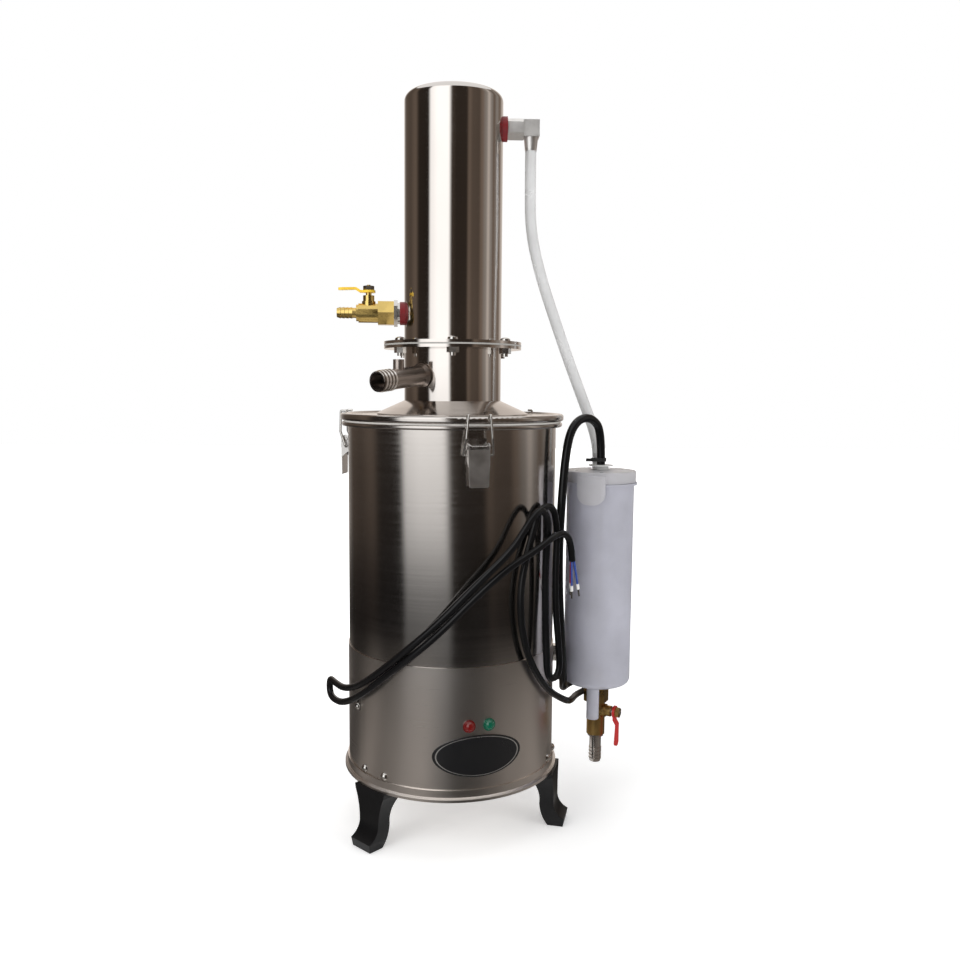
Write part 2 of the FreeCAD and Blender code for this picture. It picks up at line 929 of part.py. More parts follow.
def make_lid_seal():
    outer = S.drum_radius + S.seal_width - S.drum_wall
    inner = S.drum_radius - S.drum_wall
    return keep(
        turned(
            "lid_seal",
            [(inner, pot_rim_top), (outer, pot_rim_top), (outer, lid_rim_bottom), (inner, lid_rim_bottom)],
        )
    )


def make_boiler_lid():
    wall = S.lid_wall
    flat = lid_rim_top - S.lid_step_height
    rise = S.neck_joint_level - lid_rim_top
    run = lid_flat_inner - S.neck_radius
    slant = wall * float((rise * rise + run * run).number ** 0.5 / run.number)
    rim = lid_rim_radius
    rim_inner = rim - S.lid_rim_height * 0.8
    lid = turned(
        "boiler_lid",
        [
            (S.neck_radius, S.neck_joint_level),
            (neck_inner, S.neck_joint_level),
            (neck_inner, S.neck_joint_level - slant),
            (lid_flat_inner - wall, lid_rim_top - slant),
            (lid_flat_inner - wall, flat - wall),
            (rim_inner, flat - wall),
            (rim_inner, lid_rim_bottom),
            (rim, lid_rim_bottom),
            (rim, lid_rim_top),
            (rim_inner, lid_rim_top),
            (rim_inner - S.lid_step_height, flat),
            (lid_flat_inner, flat),
            (lid_flat_inner, lid_rim_top),
        ],
    )
    return keep(softened(lid, S.lid_rim_rounding, [(rim, lid_rim_bottom), (rim, lid_rim_top)]))


def flange_circles(inner):
    circles = [((0.0, 0.0), S.flange_radius), ((0.0, 0.0), inner)]
    return circles + [(centre, S.bolt_hole_radius) for centre, _ in bolt_centres()]


def bolt_centres():
    step = FULL_TURN / float(S.bolt_count)
    places = []
    for index in range(int(float(S.bolt_count))):
        angle = as_size(index * step - RIGHT_ANGLE)
        places.append(((S.bolt_circle_radius * cosine(angle), S.bolt_circle_radius * sine(angle)), angle))
    return places


def make_neck_tube():
    tube = turned(
        "neck_wall",
        [
            (neck_inner, S.neck_joint_level),
            (S.neck_radius, S.neck_joint_level),
            (S.neck_radius, neck_flange_top),
            (neck_inner, neck_flange_top),
        ],
    )
    flange = padded("neck_flange_ring", "XY_Plane", S.flange_thickness, circles=flange_circles(S.neck_radius - S.neck_wall / 2.0))
    put(flange, (0.0, 0.0, S.flange_underside_level))
    neck = joined("neck_with_flange", [tube, flange])
    hole = placed(cylinder(S.spout_radius + S.wall_gap, S.spout_reach), spout_placement())
    return keep(cut_from("neck_tube", neck, [hole]))


def make_flange_gasket():
    gasket = padded("flange_gasket", "XY_Plane", S.gasket_thickness, circles=flange_circles(S.neck_radius + S.wall_gap))
    return keep(put(gasket, (0.0, 0.0, neck_flange_top)))


def make_condenser_flange():
    flange = padded(
        "condenser_flange", "XY_Plane", S.flange_thickness, circles=flange_circles(S.condenser_radius + S.wall_gap / 2.0)
    )
    return keep(put(flange, (0.0, 0.0, condenser_bottom)))


def hexagon(across, centre=(0.0, 0.0), start=0.0):
    corner = across / 2.0 / math.cos(math.radians(HALF_TURN / 6))
    points = []
    for index in range(6):
        angle = as_size(start + index * FULL_TURN / 6)
        points.append((centre[0] + corner * cosine(angle), centre[1] + corner * sine(angle)))
    return points


def make_flange_bolts():
    bolts = []
    under_head = condenser_flange_top
    edge = S.bolt_head_radius - 0.6
    edge_level = under_head + S.bolt_head_height * 0.6
    head_top = under_head + S.bolt_head_height
    tip = S.flange_underside_level - S.bolt_nut_height - S.bolt_tip
    for centre, _ in bolt_centres():
        bolt = turned(
            fresh_name("bolt"),
            [
                (0.0, tip),
                (S.bolt_radius, tip),
                (S.bolt_radius, under_head),
                (S.bolt_head_radius, under_head),
                (edge, edge_level),
                (0.0, head_top, edge / 2.0, head_top - crown_drop(edge, head_top - edge_level)),
            ],
        )
        bolts.append(put(bolt, (centre[0], centre[1], 0.0)))
    return keep(grouped("flange_bolts", bolts))


def hex_nut(across, height, bore):
    return padded(fresh_name("nut"), "XY_Plane", height, [hexagon(across)], [((0.0, 0.0), bore)])


def make_flange_nuts():
    nuts = []
    across = S.bolt_head_radius * 1.9
    for centre, _ in bolt_centres():
        nut = hex_nut(across, S.bolt_nut_height, S.bolt_radius + S.shaft_gap)
        level = S.flange_underside_level - S.bolt_nut_height
        nuts.append(put(nut, (centre[0], centre[1], level)))
    return keep(grouped("flange_nuts", nuts))


# Condenser


def condenser_outline(radius, shoulder, knuckle, crown, axis_top):
    """The outer or inner line of the jacket's top, from its shoulder to its axis."""
    bend = knuckle * (1.0 - math.cos(math.radians(RIGHT_ANGLE / 2)))
    return [
        (radius, shoulder),
        (radius - knuckle, shoulder + knuckle, radius - bend, shoulder + knuckle - bend),
        (0.0, axis_top, (radius - knuckle) / 2.0, axis_top - crown_drop(radius - knuckle, crown)),
    ]


def make_condenser_shell():
    wall = S.condenser_wall
    outside = condenser_outline(
        S.condenser_radius, S.condenser_shoulder_level, S.cap_knuckle, S.cap_crown, condenser_top
    )
    inside = condenser_outline(
        condenser_inner, S.condenser_shoulder_level, S.cap_knuckle - wall, S.cap_crown, condenser_top - wall
    )
    shoulder, knuckle, peak = inside
    shell = turned(
        "condenser_wall",
        [
            (condenser_inner, condenser_bottom),
            (S.condenser_radius, condenser_bottom),
            *outside,
            (0.0, condenser_top - wall),
            (knuckle[0], knuckle[1], peak[2], peak[3]),
            (shoulder[0], shoulder[1], knuckle[2], knuckle[3]),
        ],
    )
    port = S.valve_thread_radius + S.wall_gap
    ports = [
        radial_hole(port, S.inlet_azimuth, S.inlet_level, S.condenser_radius / 2.0, S.condenser_radius),
        radial_hole(
            S.outlet_thread_radius + S.wall_gap,
            S.outlet_azimuth,
            S.outlet_level,
            S.condenser_radius / 2.0,
            S.condenser_radius,
        ),
    ]
    return keep(cut_from("condenser_shell", shell, ports))


def make_steam_tubes():
    plate_bottom = condenser_bottom + S.tube_plate_rise
    plate_top = plate_bottom + S.tube_plate_thickness
    radius = S.steam_tube_radius
    bore = radius - S.steam_tube_wall
    count = int(float(S.steam_tube_count))
    centres = ring_circles(S.steam_tube_count, S.steam_tube_circle, radius)
    plate = padded(
        "tube_plate",
        "XY_Plane",
        S.tube_plate_thickness,
        circles=[((0.0, 0.0), condenser_inner - S.wall_gap / 2.0)]
        + [(centre, bore + S.steam_tube_wall / 2.0) for centre, _ in centres],
    )
    put(plate, (0.0, 0.0, plate_bottom))
    pieces = [plate]
    dome = math.sin(math.radians(RIGHT_ANGLE / 2))
    for centre, _ in centres[:count]:
        tube = turned(
            fresh_name("steam_tube"),
            [
                (bore, plate_bottom),
                (radius, plate_bottom),
                (radius, S.steam_tube_top),
                (0.0, S.steam_tube_top + radius, radius * dome, S.steam_tube_top + radius * dome),
                (0.0, S.steam_tube_top + bore),
                (bore, S.steam_tube_top, bore * dome, S.steam_tube_top + bore * dome),
            ],
        )
        pieces.append(put(tube, (centre[0], centre[1], 0.0)))
    return keep(joined("steam_tube_stack", pieces))


def make_collecting_gutter():
    wall = S.gutter_wall
    outer = neck_inner - S.wall_gap
    gutter = turned(
        "gutter_trough",
        [
            (S.chimney_radius, S.gutter_level),
            (outer, S.gutter_level),
            (outer, S.gutter_level + S.gutter_height),
            (outer - wall, S.gutter_level + S.gutter_height),
            (outer - wall, S.gutter_level + wall),
            (S.chimney_radius + wall, S.gutter_level + wall),
            (S.chimney_radius + wall, S.gutter_level + S.chimney_height),
            (S.chimney_radius, S.gutter_level + S.chimney_height),
        ],
    )
    hole = cylinder(S.spout_radius + S.wall_gap, S.spout_reach)
    placed(hole, spout_placement(S.chimney_radius + S.gutter_wall * 3.0))
    return keep(cut_from("collecting_gutter", gutter, [hole]))


# Distillate outlet on the neck


def spout_level_at(reach):
    drop = math.tan(math.radians(float(S.spout_slope)))
    return S.spout_mouth_level + (S.spout_reach - reach) * drop


def spout_placement(start=0.0):
    """Local +Z runs outward along the sloping outlet pipe from a radial reach."""
    lean = FreeCAD.Rotation(FreeCAD.Vector(0, 1, 0), RIGHT_ANGLE + float(S.spout_slope))
    turn = toward(S.spout_azimuth)
    base = turn.multVec(FreeCAD.Vector(float(start), 0, float(spout_level_at(as_size(start)))))
    return FreeCAD.Placement(base, turn * lean)


def make_distillate_pipe():
    slope = math.cos(math.radians(float(S.spout_slope)))
    length = (S.spout_reach - S.spout_start) / slope
    radius = S.spout_radius
    collar_start = (S.neck_radius + S.spout_collar_gap - S.spout_start) / slope
    outline = [(0.0, 0.0), (0.0, radius), (collar_start, radius), (collar_start, S.spout_collar_radius)]
    outline.append((collar_start + S.spout_collar_length, radius))
    barb_start = length - S.spout_barb_pitch * float(S.spout_barb_count)
    for index in range(int(float(S.spout_barb_count))):
        foot = barb_start + S.spout_barb_pitch * float(index)
        outline.append((foot, radius))
        outline.append((foot, radius + S.spout_barb_height))
    outline.append((length, radius))
    outline.append((length, 0.0))
    pipe = turned("spout_pipe", outline, "H_Axis")
    lean = FreeCAD.Rotation(FreeCAD.Vector(0, 1, 0), float(S.spout_slope))
    put(pipe, (S.spout_start, 0.0, spout_level_at(S.spout_start)), lean)
    vent_start = spout_level_at(S.vent_reach)
    vent = cylinder(S.vent_radius, S.vent_top_level - vent_start, (S.vent_reach, 0.0, vent_start))
    welded = joined("spout_with_vent", [pipe, vent])
    bore = cylinder(radius - S.spout_wall, length * 2.0)
    bore_turn = FreeCAD.Rotation(FreeCAD.Vector(0, 1, 0), RIGHT_ANGLE + float(S.spout_slope))
    put(bore, (S.spout_start - 5.0, 0.0, spout_level_at(S.spout_start - 5.0)), bore_turn)
    vent_bore = cylinder(S.vent_bore, S.vent_top_level - vent_start + 1.0, (S.vent_reach, 0.0, vent_start))
    drilled = cut_from("distillate_pipe", welded, [bore, vent_bore])
    return keep(put(drilled, rotation=toward(S.spout_azimuth)))


# Ball valves. Local +X runs along the flow to the hose end, local +Z along the
# stem, and the ball's centre is the local origin.


def valve_body(label, placement, seat, hose_end, thread_reach):
    """The cast body: a threaded tail, a hexagon, a round shell and a bonnet."""
    bore = S.valve_bore
    room = S.valve_ball_radius + S.wall_gap
    shell = cylinder(S.valve_body_radius, hose_end + S.valve_body_length, (-S.valve_body_length, 0.0, 0.0), RADIAL)
    hexagon_end = -S.valve_body_length + 1.0
    nut = padded(fresh_name("valve_hex"), "YZ_Plane", hexagon_end + seat, [hexagon(S.valve_hex_across)])
    put(nut, (-seat, 0.0, 0.0))
    thread = cylinder(S.valve_thread_radius, seat + thread_reach, (-seat - thread_reach, 0.0, 0.0), RADIAL)
    bonnet = cylinder(S.valve_bonnet_radius, S.valve_bonnet_top)
    collar = cylinder(S.valve_bonnet_radius + 1.2, S.valve_body_radius + 2.0)
    solid = joined(fresh_name("valve_solid"), [shell, nut, thread, bonnet, collar])
    way_in = cylinder(bore, seat + thread_reach + 1.0, (-seat - thread_reach - 1.0, 0.0, 0.0), RADIAL)
    socket_length = S.barb_thread_length + S.wall_gap
    way_out = cylinder(bore, hose_end + 1.0, (0.0, 0.0, 0.0), RADIAL)
    socket = cylinder(
        barb_thread_radius() + S.shaft_gap, socket_length + 1.0, (hose_end - socket_length, 0.0, 0.0), RADIAL
    )
    ball_room = document.addObject("Part::Sphere", fresh_name("ball_room"))
    bind(ball_room, "Radius", room)
    stem_way = cylinder(S.valve_stem_radius + S.shaft_gap, S.valve_bonnet_top + 1.0)
    body = cut_from(label, solid, [way_in, way_out, socket, ball_room, stem_way])
    placed(body, placement)
    return keep(body)


def barb_thread_radius():
    return S.valve_body_radius - 2.6


def valve_ball(label, placement):
    """Ball and stem in one piece, with the flow's bore through the ball."""
    ball = document.addObject("Part::Sphere", fresh_name("ball"))
    bind(ball, "Radius", S.valve_ball_radius)
    stem = cylinder(S.valve_stem_radius, S.valve_lever_level)
    tip = cylinder(S.valve_stem_radius - 1.0, S.valve_stem_top)
    solid = joined(fresh_name("ball_solid"), [ball, stem, tip])
    bore = cylinder(S.valve_bore, S.valve_ball_radius * 4.0, (-S.valve_ball_radius * 2.0, 0.0, 0.0), RADIAL)
    item = cut_from(label, solid, [bore])
    placed(item, placement)
    return keep(item)


def valve_lever(label, placement, length):
    """A flat lever with a round hub, cranked up to a rounded grip."""
    half = S.valve_lever_width / 2.0
    hub = S.valve_lever_hub
    slant = math.cos(math.radians(40))
    tip = length - half
    plan = [
        (hub * 0.77, half * 0.8),
        (hub * 0.77, -half * 0.8, -hub, 0.0),
        (length * 0.45, -half * 0.7),
        (tip, -half),
        (tip, half, length, 0.0),
        (length * 0.45, half * 0.7),
    ]
    rise = S.valve_lever_rise
    top = S.valve_lever_level + S.valve_lever_thickness
    under = S.valve_lever_level
    crank_start = hub + 2.0
    crank_end = crank_start + rise * 1.6
    side = [
        (-hub - 1.0, under),
        (crank_start, under),
        (crank_end, under + rise),
        (length + 1.0, under + rise * slant),
        (length + 1.0, top + rise * slant),
        (crank_end - 0.8, top + rise),
        (crank_start - 0.8, top),
        (-hub - 1.0, top),
    ]
    plan_body = padded(fresh_name("lever_plan"), "XY_Plane", S.valve_stem_top * 2.0, [plan])
    side_body = padded(fresh_name("lever_side"), "XZ_Plane", hub * 4.0, [side], midplane=True)
    blank = shared(fresh_name("lever_blank"), plan_body, side_body)
    hole = cylinder(S.valve_stem_radius - 1.0 + S.shaft_gap, S.valve_stem_top * 2.0)
    lever = cut_from(label, blank, [hole])
    placed(lever, placement)
    return keep(lever)


def valve_lever_nut(label, placement):
    nut = hex_nut(S.valve_nut_across, S.valve_nut_height, S.valve_stem_radius - 1.0 + S.shaft_gap)
    put(nut, (0.0, 0.0, S.valve_lever_level + S.valve_lever_thickness))
    holder = grouped(label, [nut])
    placed(holder, placement)
    return keep(holder)


def hose_barb(label, placement, start, length, radius, bore):
    """A hose tail: a threaded end in the valve, then sawtooth rings to the tip."""
    thread = barb_thread_radius()
    outline = [(start - S.barb_thread_length, bore), (start - S.barb_thread_length, thread), (start, thread)]
    outline.append((start, thread + 1.2))
    outline.append((start + 2.4, thread + 1.2))
    outline.append((start + 2.4, radius))
    count = int(float(S.barb_count))
    first = start + length - S.barb_pitch * float(count)
    for index in range(count):
        foot = first + S.barb_pitch * float(index)
        outline.append((foot, radius))
        outline.append((foot, radius + S.barb_height))
    outline.append((start + length, radius - 0.6))
    outline.append((start + length, bore))
    barb = turned(label, outline, "H_Axis")
    placed(barb, placement)
    return keep(barb)


def inlet_placement():
    turn = toward(S.inlet_azimuth)
    base = turn.multVec(FreeCAD.Vector(float(S.inlet_ball_reach), 0, float(S.inlet_level)))
    return FreeCAD.Placement(base, turn)


def radial_ring(label, inner, outer, start, length, azimuth, level):
    """A washer square to a radial line; where it starts early it hugs the tube."""
    ring = turned(
        fresh_name("washer"),
        [(start, inner), (start, outer), (start + length, outer), (start + length, inner)],
        "H_Axis",
    )
    put(ring, (0.0, 0.0, level), toward(azimuth))
    return ring


def make_port_gasket(label, azimuth, level, bore, radius, length):
    early = S.condenser_radius - radius / 2.0
    ring = radial_ring(label, bore, radius, early, S.condenser_radius + length - early, azimuth, level)
    core = cylinder(S.condenser_radius + S.shaft_gap, condenser_top)
    return keep(cut_from(label, ring, [core]))


def make_inlet():
    place = inlet_placement()
    bore = S.valve_thread_radius + S.shaft_gap
    make_port_gasket("inlet_gasket", S.inlet_azimuth, S.inlet_level, bore, S.inlet_gasket_radius, S.inlet_gasket_length)
    nut_start = valve_seat_reach + S.inlet_collar_length
    collar = radial_ring(
        "inlet_collar",
        bore,
        S.inlet_collar_radius,
        valve_seat_reach,
        S.inlet_collar_length,
        S.inlet_azimuth,
        S.inlet_level,
    )
    lock_nut = padded(
        "inlet_lock_nut", "YZ_Plane", S.inlet_nut_length, [hexagon(S.inlet_nut_across, start=30.0)], [((0.0, 0.0), bore)]
    )
    turn = toward(S.inlet_azimuth)
    put(lock_nut, (nut_start * sine(S.inlet_azimuth), -nut_start * cosine(S.inlet_azimuth), S.inlet_level), turn)
    keep(grouped("inlet_collar", [collar, lock_nut]))
    seat = S.inlet_ball_reach - nut_start - S.inlet_nut_length
    thread_reach = nut_start + S.inlet_nut_length - condenser_inner + S.valve_thread_reach
    valve_body("inlet_valve_body", place, seat, S.valve_body_length, thread_reach)
    valve_ball("inlet_ball_stem", place)
    valve_lever("inlet_lever", place, S.inlet_lever_length)
    valve_lever_nut("inlet_lever_nut", place)
    hose_barb(
        "inlet_hose_barb", place, S.valve_body_length, S.inlet_barb_length, S.inlet_barb_radius, S.inlet_barb_bore
    )


# Hot water outlet at the condenser's top


def make_outlet():
    bore = S.outlet_thread_radius + S.shaft_gap
    make_port_gasket(
        "outlet_gasket", S.outlet_azimuth, S.outlet_level, bore, S.outlet_gasket_radius, S.outlet_gasket_length
    )
    turn = toward(S.outlet_azimuth)
    hex_start = S.condenser_radius + S.outlet_gasket_length
    nut = padded(
        "outlet_hex", "YZ_Plane", S.outlet_nipple_end - hex_start, [hexagon(S.outlet_nipple_across, start=30.0)]
    )
    put(nut, (hex_start, 0.0, 0.0))
    thread_start = condenser_inner - S.valve_thread_reach
    thread = cylinder(S.outlet_thread_radius, hex_start - thread_start, (thread_start, 0.0, 0.0), RADIAL)
    solid = joined("outlet_nipple_solid", [nut, thread])
    way = cylinder(S.outlet_bore, S.outlet_elbow_reach, (thread_start - 1.0, 0.0, 0.0), RADIAL)
    nipple = cut_from("outlet_nipple", solid, [way])
    keep(put(nipple, (0.0, 0.0, S.outlet_level), turn))

    side = S.outlet_elbow_side
    reach = S.outlet_elbow_reach
    head = block((side, side, side), (reach - side / 2.0, -side / 2.0, -side / 2.0))
    tail = turned(
        "outlet_tail",
        [
            (0.0, -side / 2.0),
            (S.outlet_tail_radius, -side / 2.0),
            (S.outlet_tail_tip_radius, -side / 2.0 - S.outlet_tail_length),
            (S.outlet_barb_radius, -side / 2.0 - S.outlet_tail_length),
            (S.outlet_barb_radius, -side / 2.0 - S.outlet_tail_length - S.outlet_barb_length),
            (0.0, -side / 2.0 - S.outlet_tail_length - S.outlet_barb_length),
        ],
    )
    put(tail, (reach, 0.0, 0.0))
    elbow_solid = joined("outlet_elbow_solid", [head, tail])
    down_bore = S.outlet_barb_radius - 1.2
    across = cylinder(S.outlet_bore, side / 2.0 + 1.0, (reach - side / 2.0 - 1.0, 0.0, 0.0), RADIAL)
    down = cylinder(
        down_bore,
        S.outlet_tail_length + S.outlet_barb_length + side,
        (reach, 0.0, -side / 2.0 - S.outlet_tail_length - S.outlet_barb_length - 1.0),
    )
    elbow = cut_from("outlet_elbow", elbow_solid, [across, down])
    return keep(put(elbow, (0.0, 0.0, S.outlet_level), turn))


# Level cup. Local axes are parallel to the part's, on the cup's axis.


def make_cup_body():
    radius = S.cup_radius
    wall = S.cup_wall
    floor = S.cup_floor_level
    flange = S.cup_flange_level
    lip_top = flange + S.cup_flange_thickness + S.cup_lip_height
    cup = turned(
        "cup_wall",
        [
            (0.0, floor),
            *rounded((radius, floor), LEFT, UP, S.cup_corner_radius),
            (radius, flange),
            (S.cup_flange_radius, flange),
            (S.cup_flange_radius, flange + S.cup_flange_thickness),
            (radius, flange + S.cup_flange_thickness),
            (radius - S.seat_gap, lip_top),
            (radius - wall, lip_top),
            *rounded((radius - wall, floor + S.cup_floor_thickness), UP, LEFT, S.cup_corner_radius - wall),
            (0.0, floor + S.cup_floor_thickness),
        ],
    )
    spout = cylinder(
        S.cup_spout_radius,
        floor + S.cup_floor_thickness - S.cup_spout_end_level,
        (S.cup_spout_x, S.cup_spout_y, S.cup_spout_end_level),
    )
    solid = joined("cup_solid", [cup, spout])
    spout_bore = cylinder(
        S.cup_spout_radius - S.cup_spout_wall,
        S.cup_floor_level,
        (S.cup_spout_x, S.cup_spout_y, S.cup_spout_end_level - 1.0),
    )
    drain_hole = cylinder(
        S.valve_thread_radius + S.wall_gap, S.cup_corner_radius * 2.0, (S.drain_x, S.drain_y, floor - 1.0)
    )
    feed = cylinder(S.feed_radius + S.wall_gap, radius, (-radius - 1.0, 0.0, S.feed_level), RADIAL)
    body = cut_from("cup_body", solid, [spout_bore, drain_hole, feed])
    return keep(put(body, (cup_offset, 0.0, 0.0)))


def make_cup_lid():
    radius = S.cup_lid_radius
    top = S.cup_lid_top_level
    wall = S.cup_lid_wall
    bottom = S.cup_flange_level + S.cup_flange_thickness + S.seat_gap
    lid_inner = S.cup_radius + S.seat_gap
    lid = turned(
        "cup_lid_shell",
        [
            (0.0, top),
            (radius, top - 0.8),
            (radius, bottom),
            (lid_inner, bottom),
            (lid_inner, top - wall - 0.8),
            (0.0, top - wall),
        ],
    )
    softened(lid, S.cup_lid_rounding / 2.0, [(radius, top - 0.8)])
    tab_inner = S.cup_flange_radius + S.seat_gap
    tab_outer = tab_inner + wall
    tab_top = top - S.cup_lid_rounding * 2.0
    tab_bottom = S.cup_flange_level - S.cup_tab_drop
    band = turned(
        "cup_tab_band",
        [
            (radius - wall / 2.0, tab_top),
            (radius - wall / 2.0, bottom),
            (tab_inner, bottom),
            (tab_inner, tab_bottom),
            (tab_outer, tab_bottom),
            (tab_outer, tab_top - 2.0),
            (tab_outer - 2.0, tab_top),
        ],
    )
    half = S.cup_tab_width / 2.0
    corner = S.cup_tab_corner
    bend = corner * (1.0 - math.cos(math.radians(RIGHT_ANGLE / 2)))
    front = [
        (-half, tab_top + 1.0),
        (-half, tab_bottom + corner),
        (-half + corner, tab_bottom, -half + bend, tab_bottom + bend),
        (half - corner, tab_bottom),
        (half, tab_bottom + corner, half - bend, tab_bottom + bend),
        (half, tab_top + 1.0),
    ]
    window = padded("cup_tab_outline", "YZ_Plane", tab_outer * 2.0, [front])
    tab = shared("cup_tab", band, window)
    put(tab, rotation=toward(S.cup_tab_azimuth))
    nozzle = cylinder(S.lid_nozzle_radius, S.lid_nozzle_height, (0.0, S.lid_nozzle_offset, top - wall))
    boss = cylinder(S.lid_nozzle_radius + 2.0, wall + 2.6, (0.0, S.lid_nozzle_offset, top - wall - 0.4))
    solid = joined("cup_lid_solid", [lid, tab, nozzle, boss])
    holes = [
        cylinder(S.lid_nozzle_bore, S.lid_nozzle_height * 2.0, (0.0, S.lid_nozzle_offset, bottom)),
        cylinder(S.gland_shank_radius + S.shaft_gap, S.lid_nozzle_height * 2.0, (0.0, 0.0, bottom)),
    ]
    return keep(put(cut_from("cup_lid", solid, holes), (cup_offset, 0.0, 0.0)))


def make_probe_gland():
    seat = S.cup_lid_top_level
    under = seat - S.cup_lid_wall
    disc = seat + S.gland_height
    gland = turned(
        "probe_gland",
        [
            (0.0, under - S.gland_nut_height),
            (S.gland_nut_radius, under - S.gland_nut_height),
            (S.gland_nut_radius, under - S.seat_gap),
            (S.gland_shank_radius, under - S.seat_gap),
            (S.gland_shank_radius, seat),
            (S.gland_radius, seat),
            (S.gland_radius - 0.6, disc - S.gland_disc_thickness),
            (S.gland_disc_radius, disc - S.gland_disc_thickness),
            (S.gland_disc_radius, disc),
            (0.0, disc),
        ],
    )
    return keep(put(gland, (cup_offset, 0.0, 0.0)))


def make_probe_stem():
    top = S.cup_lid_top_level - S.cup_lid_wall - S.gland_nut_height
    end = S.probe_stem_end_level
    stop = end + S.probe_stop_height
    upper = stop + S.float_height + S.float_travel + S.seat_gap * 2.0
    stem = turned(
        "probe_stem",
        [
            (0.0, end),
            (S.probe_stop_radius, end),
            (S.probe_stop_radius, stop),
            (S.probe_stem_radius, stop),
            (S.probe_stem_radius, upper),
            (S.probe_stop_radius, upper),
            (S.probe_stop_radius, upper + S.probe_stop_height),
            (S.probe_stem_radius, upper + S.probe_stop_height),
            (S.probe_stem_radius, top),
            (0.0, top),
        ],
    )
    return keep(put(stem, (cup_offset, 0.0, 0.0)))


def make_level_float():
    bottom = S.probe_stem_end_level + S.probe_stop_height + S.seat_gap / 3.0
    top = bottom + S.float_height
    bore = S.probe_stem_radius + S.shaft_gap
    level_float = turned(
        "level_float",
        [(bore, bottom), (S.float_radius, bottom), (S.float_radius, top), (bore, top)],
    )
    softened(level_float, S.float_radius / 5.0, [(S.float_radius, bottom), (S.float_radius, top)])
    return keep(put(level_float, (cup_offset, 0.0, 0.0)))


def make_feed_nipple():
    pot_inside = S.drum_radius - S.drum_wall
    start = pot_inside - S.feed_reach_inside
    cup_inside = cup_offset - S.cup_radius + S.cup_wall
    end = cup_inside + S.feed_reach_inside
    tube = turned(
        "feed_nipple",
        [(start, S.feed_bore), (start, S.feed_radius), (end, S.feed_radius), (end, S.feed_bore)],
        "H_Axis",
    )
    keep(put(tube, (0.0, 0.0, S.feed_level)))
    nuts = []
    length = S.feed_nut_length
    cup_outside = cup_offset - S.cup_radius
    for nut_start in (
        pot_inside - length - S.seat_gap - 1.0,
        skirt_outer + S.seat_gap,
        cup_outside - length - S.seat_gap,
        cup_inside + S.seat_gap + 1.4,
    ):
        nut = padded(
            fresh_name("feed_nut"),
            "YZ_Plane",
            length,
            [hexagon(S.feed_nut_across)],
            [((0.0, 0.0), S.feed_radius + S.shaft_gap)],
        )
        nuts.append(put(nut, (nut_start, 0.0, S.feed_level)))
    keep(grouped("feed_nuts", nuts))


def drain_placement():
    """The flow runs down, and the stem points out beside the cup."""
    stem_way = toward(S.drain_stem_azimuth)
    down = FreeCAD.Rotation(
        FreeCAD.Vector(0, 0, -1), FreeCAD.Vector(0, 1, 0), FreeCAD.Vector(1, 0, 0), "XYZ"
    )
    turn = stem_way * down
    base = FreeCAD.Vector(float(cup_offset + S.drain_x), float(S.drain_y), float(S.drain_ball_level))
    return FreeCAD.Placement(base, turn)


def make_drain():
    place = drain_placement()
    seat = S.cup_floor_level - S.drain_gasket_thickness - S.drain_ball_level
    gasket = cylinder(
        S.valve_hex_across / 2.0,
        S.drain_gasket_thickness,
        (0.0, 0.0, S.cup_floor_level - S.drain_gasket_thickness),
    )
    gasket_bore = cylinder(S.valve_thread_radius + S.shaft_gap, S.cup_floor_level)
    ring = cut_from("drain_gasket", gasket, [gasket_bore])
    keep(put(ring, (cup_offset + S.drain_x, S.drain_y, 0.0)))
    thread_reach = S.drain_gasket_thickness + S.cup_floor_thickness + 4.0
    end = S.valve_body_length * 2.6
    valve_body("drain_valve_body", place, seat, end, thread_reach)
    valve_ball("drain_ball_stem", place)
    valve_lever("drain_lever", place, S.drain_lever_length)
    valve_lever_nut("drain_lever_nut", place)
    hose_barb("drain_hose_barb", place, end, S.drain_barb_length, S.drain_barb_radius, S.drain_barb_bore)


# Latches. Local +X is radial, local Y runs along the rim, and the drum's axis
# is the local Z axis.

latch_bar_reach = latch_pivot_reach - S.latch_bar_inset
latch_bar_level = S.latch_pivot_level - S.latch_bar_drop
latch_plate_face = S.drum_radius + S.seat_gap + S.latch_plate_thickness


ACROSS = FreeCAD.Rotation(FreeCAD.Vector(1, 0, 0), RIGHT_ANGLE)


def latch_azimuths():
    return [S.first_latch_azimuth + S.latch_spacing * float(index) for index in range(3)]


def make_latch_bracket(azimuth):
    level = S.latch_pivot_level
    plate_height = S.latch_plate_above + S.latch_plate_below
    plate = block(
        (S.latch_plate_thickness, S.latch_plate_width, plate_height),
        (S.drum_radius + S.seat_gap, -S.latch_plate_width / 2.0, level - S.latch_plate_below),
    )
    pieces = [plate]
    ear = S.latch_ear_radius
    reach = latch_pivot_reach - latch_plate_face
    for side in (-1.0, 1.0):
        inner = (S.latch_plate_width / 2.0 - S.latch_ear_thickness / 2.0) * side
        web = block(
            (reach, S.latch_ear_thickness, ear * 2.0),
            (latch_plate_face, inner - S.latch_ear_thickness / 2.0, level - ear),
        )
        start = inner + S.latch_ear_thickness / 2.0
        disc = cylinder(ear, S.latch_ear_thickness, (latch_pivot_reach, start, level), ACROSS)
        pieces += [web, disc]
    solid = joined(fresh_name("bracket_solid"), pieces)
    pin_way = cylinder(
        S.latch_pin_radius + S.shaft_gap / 2.0,
        S.latch_plate_width * 2.0,
        (latch_pivot_reach, S.latch_plate_width, level),
        ACROSS,
    )
    bracket = cut_from(fresh_name("bracket"), solid, [pin_way])
    return put(bracket, rotation=toward(azimuth))


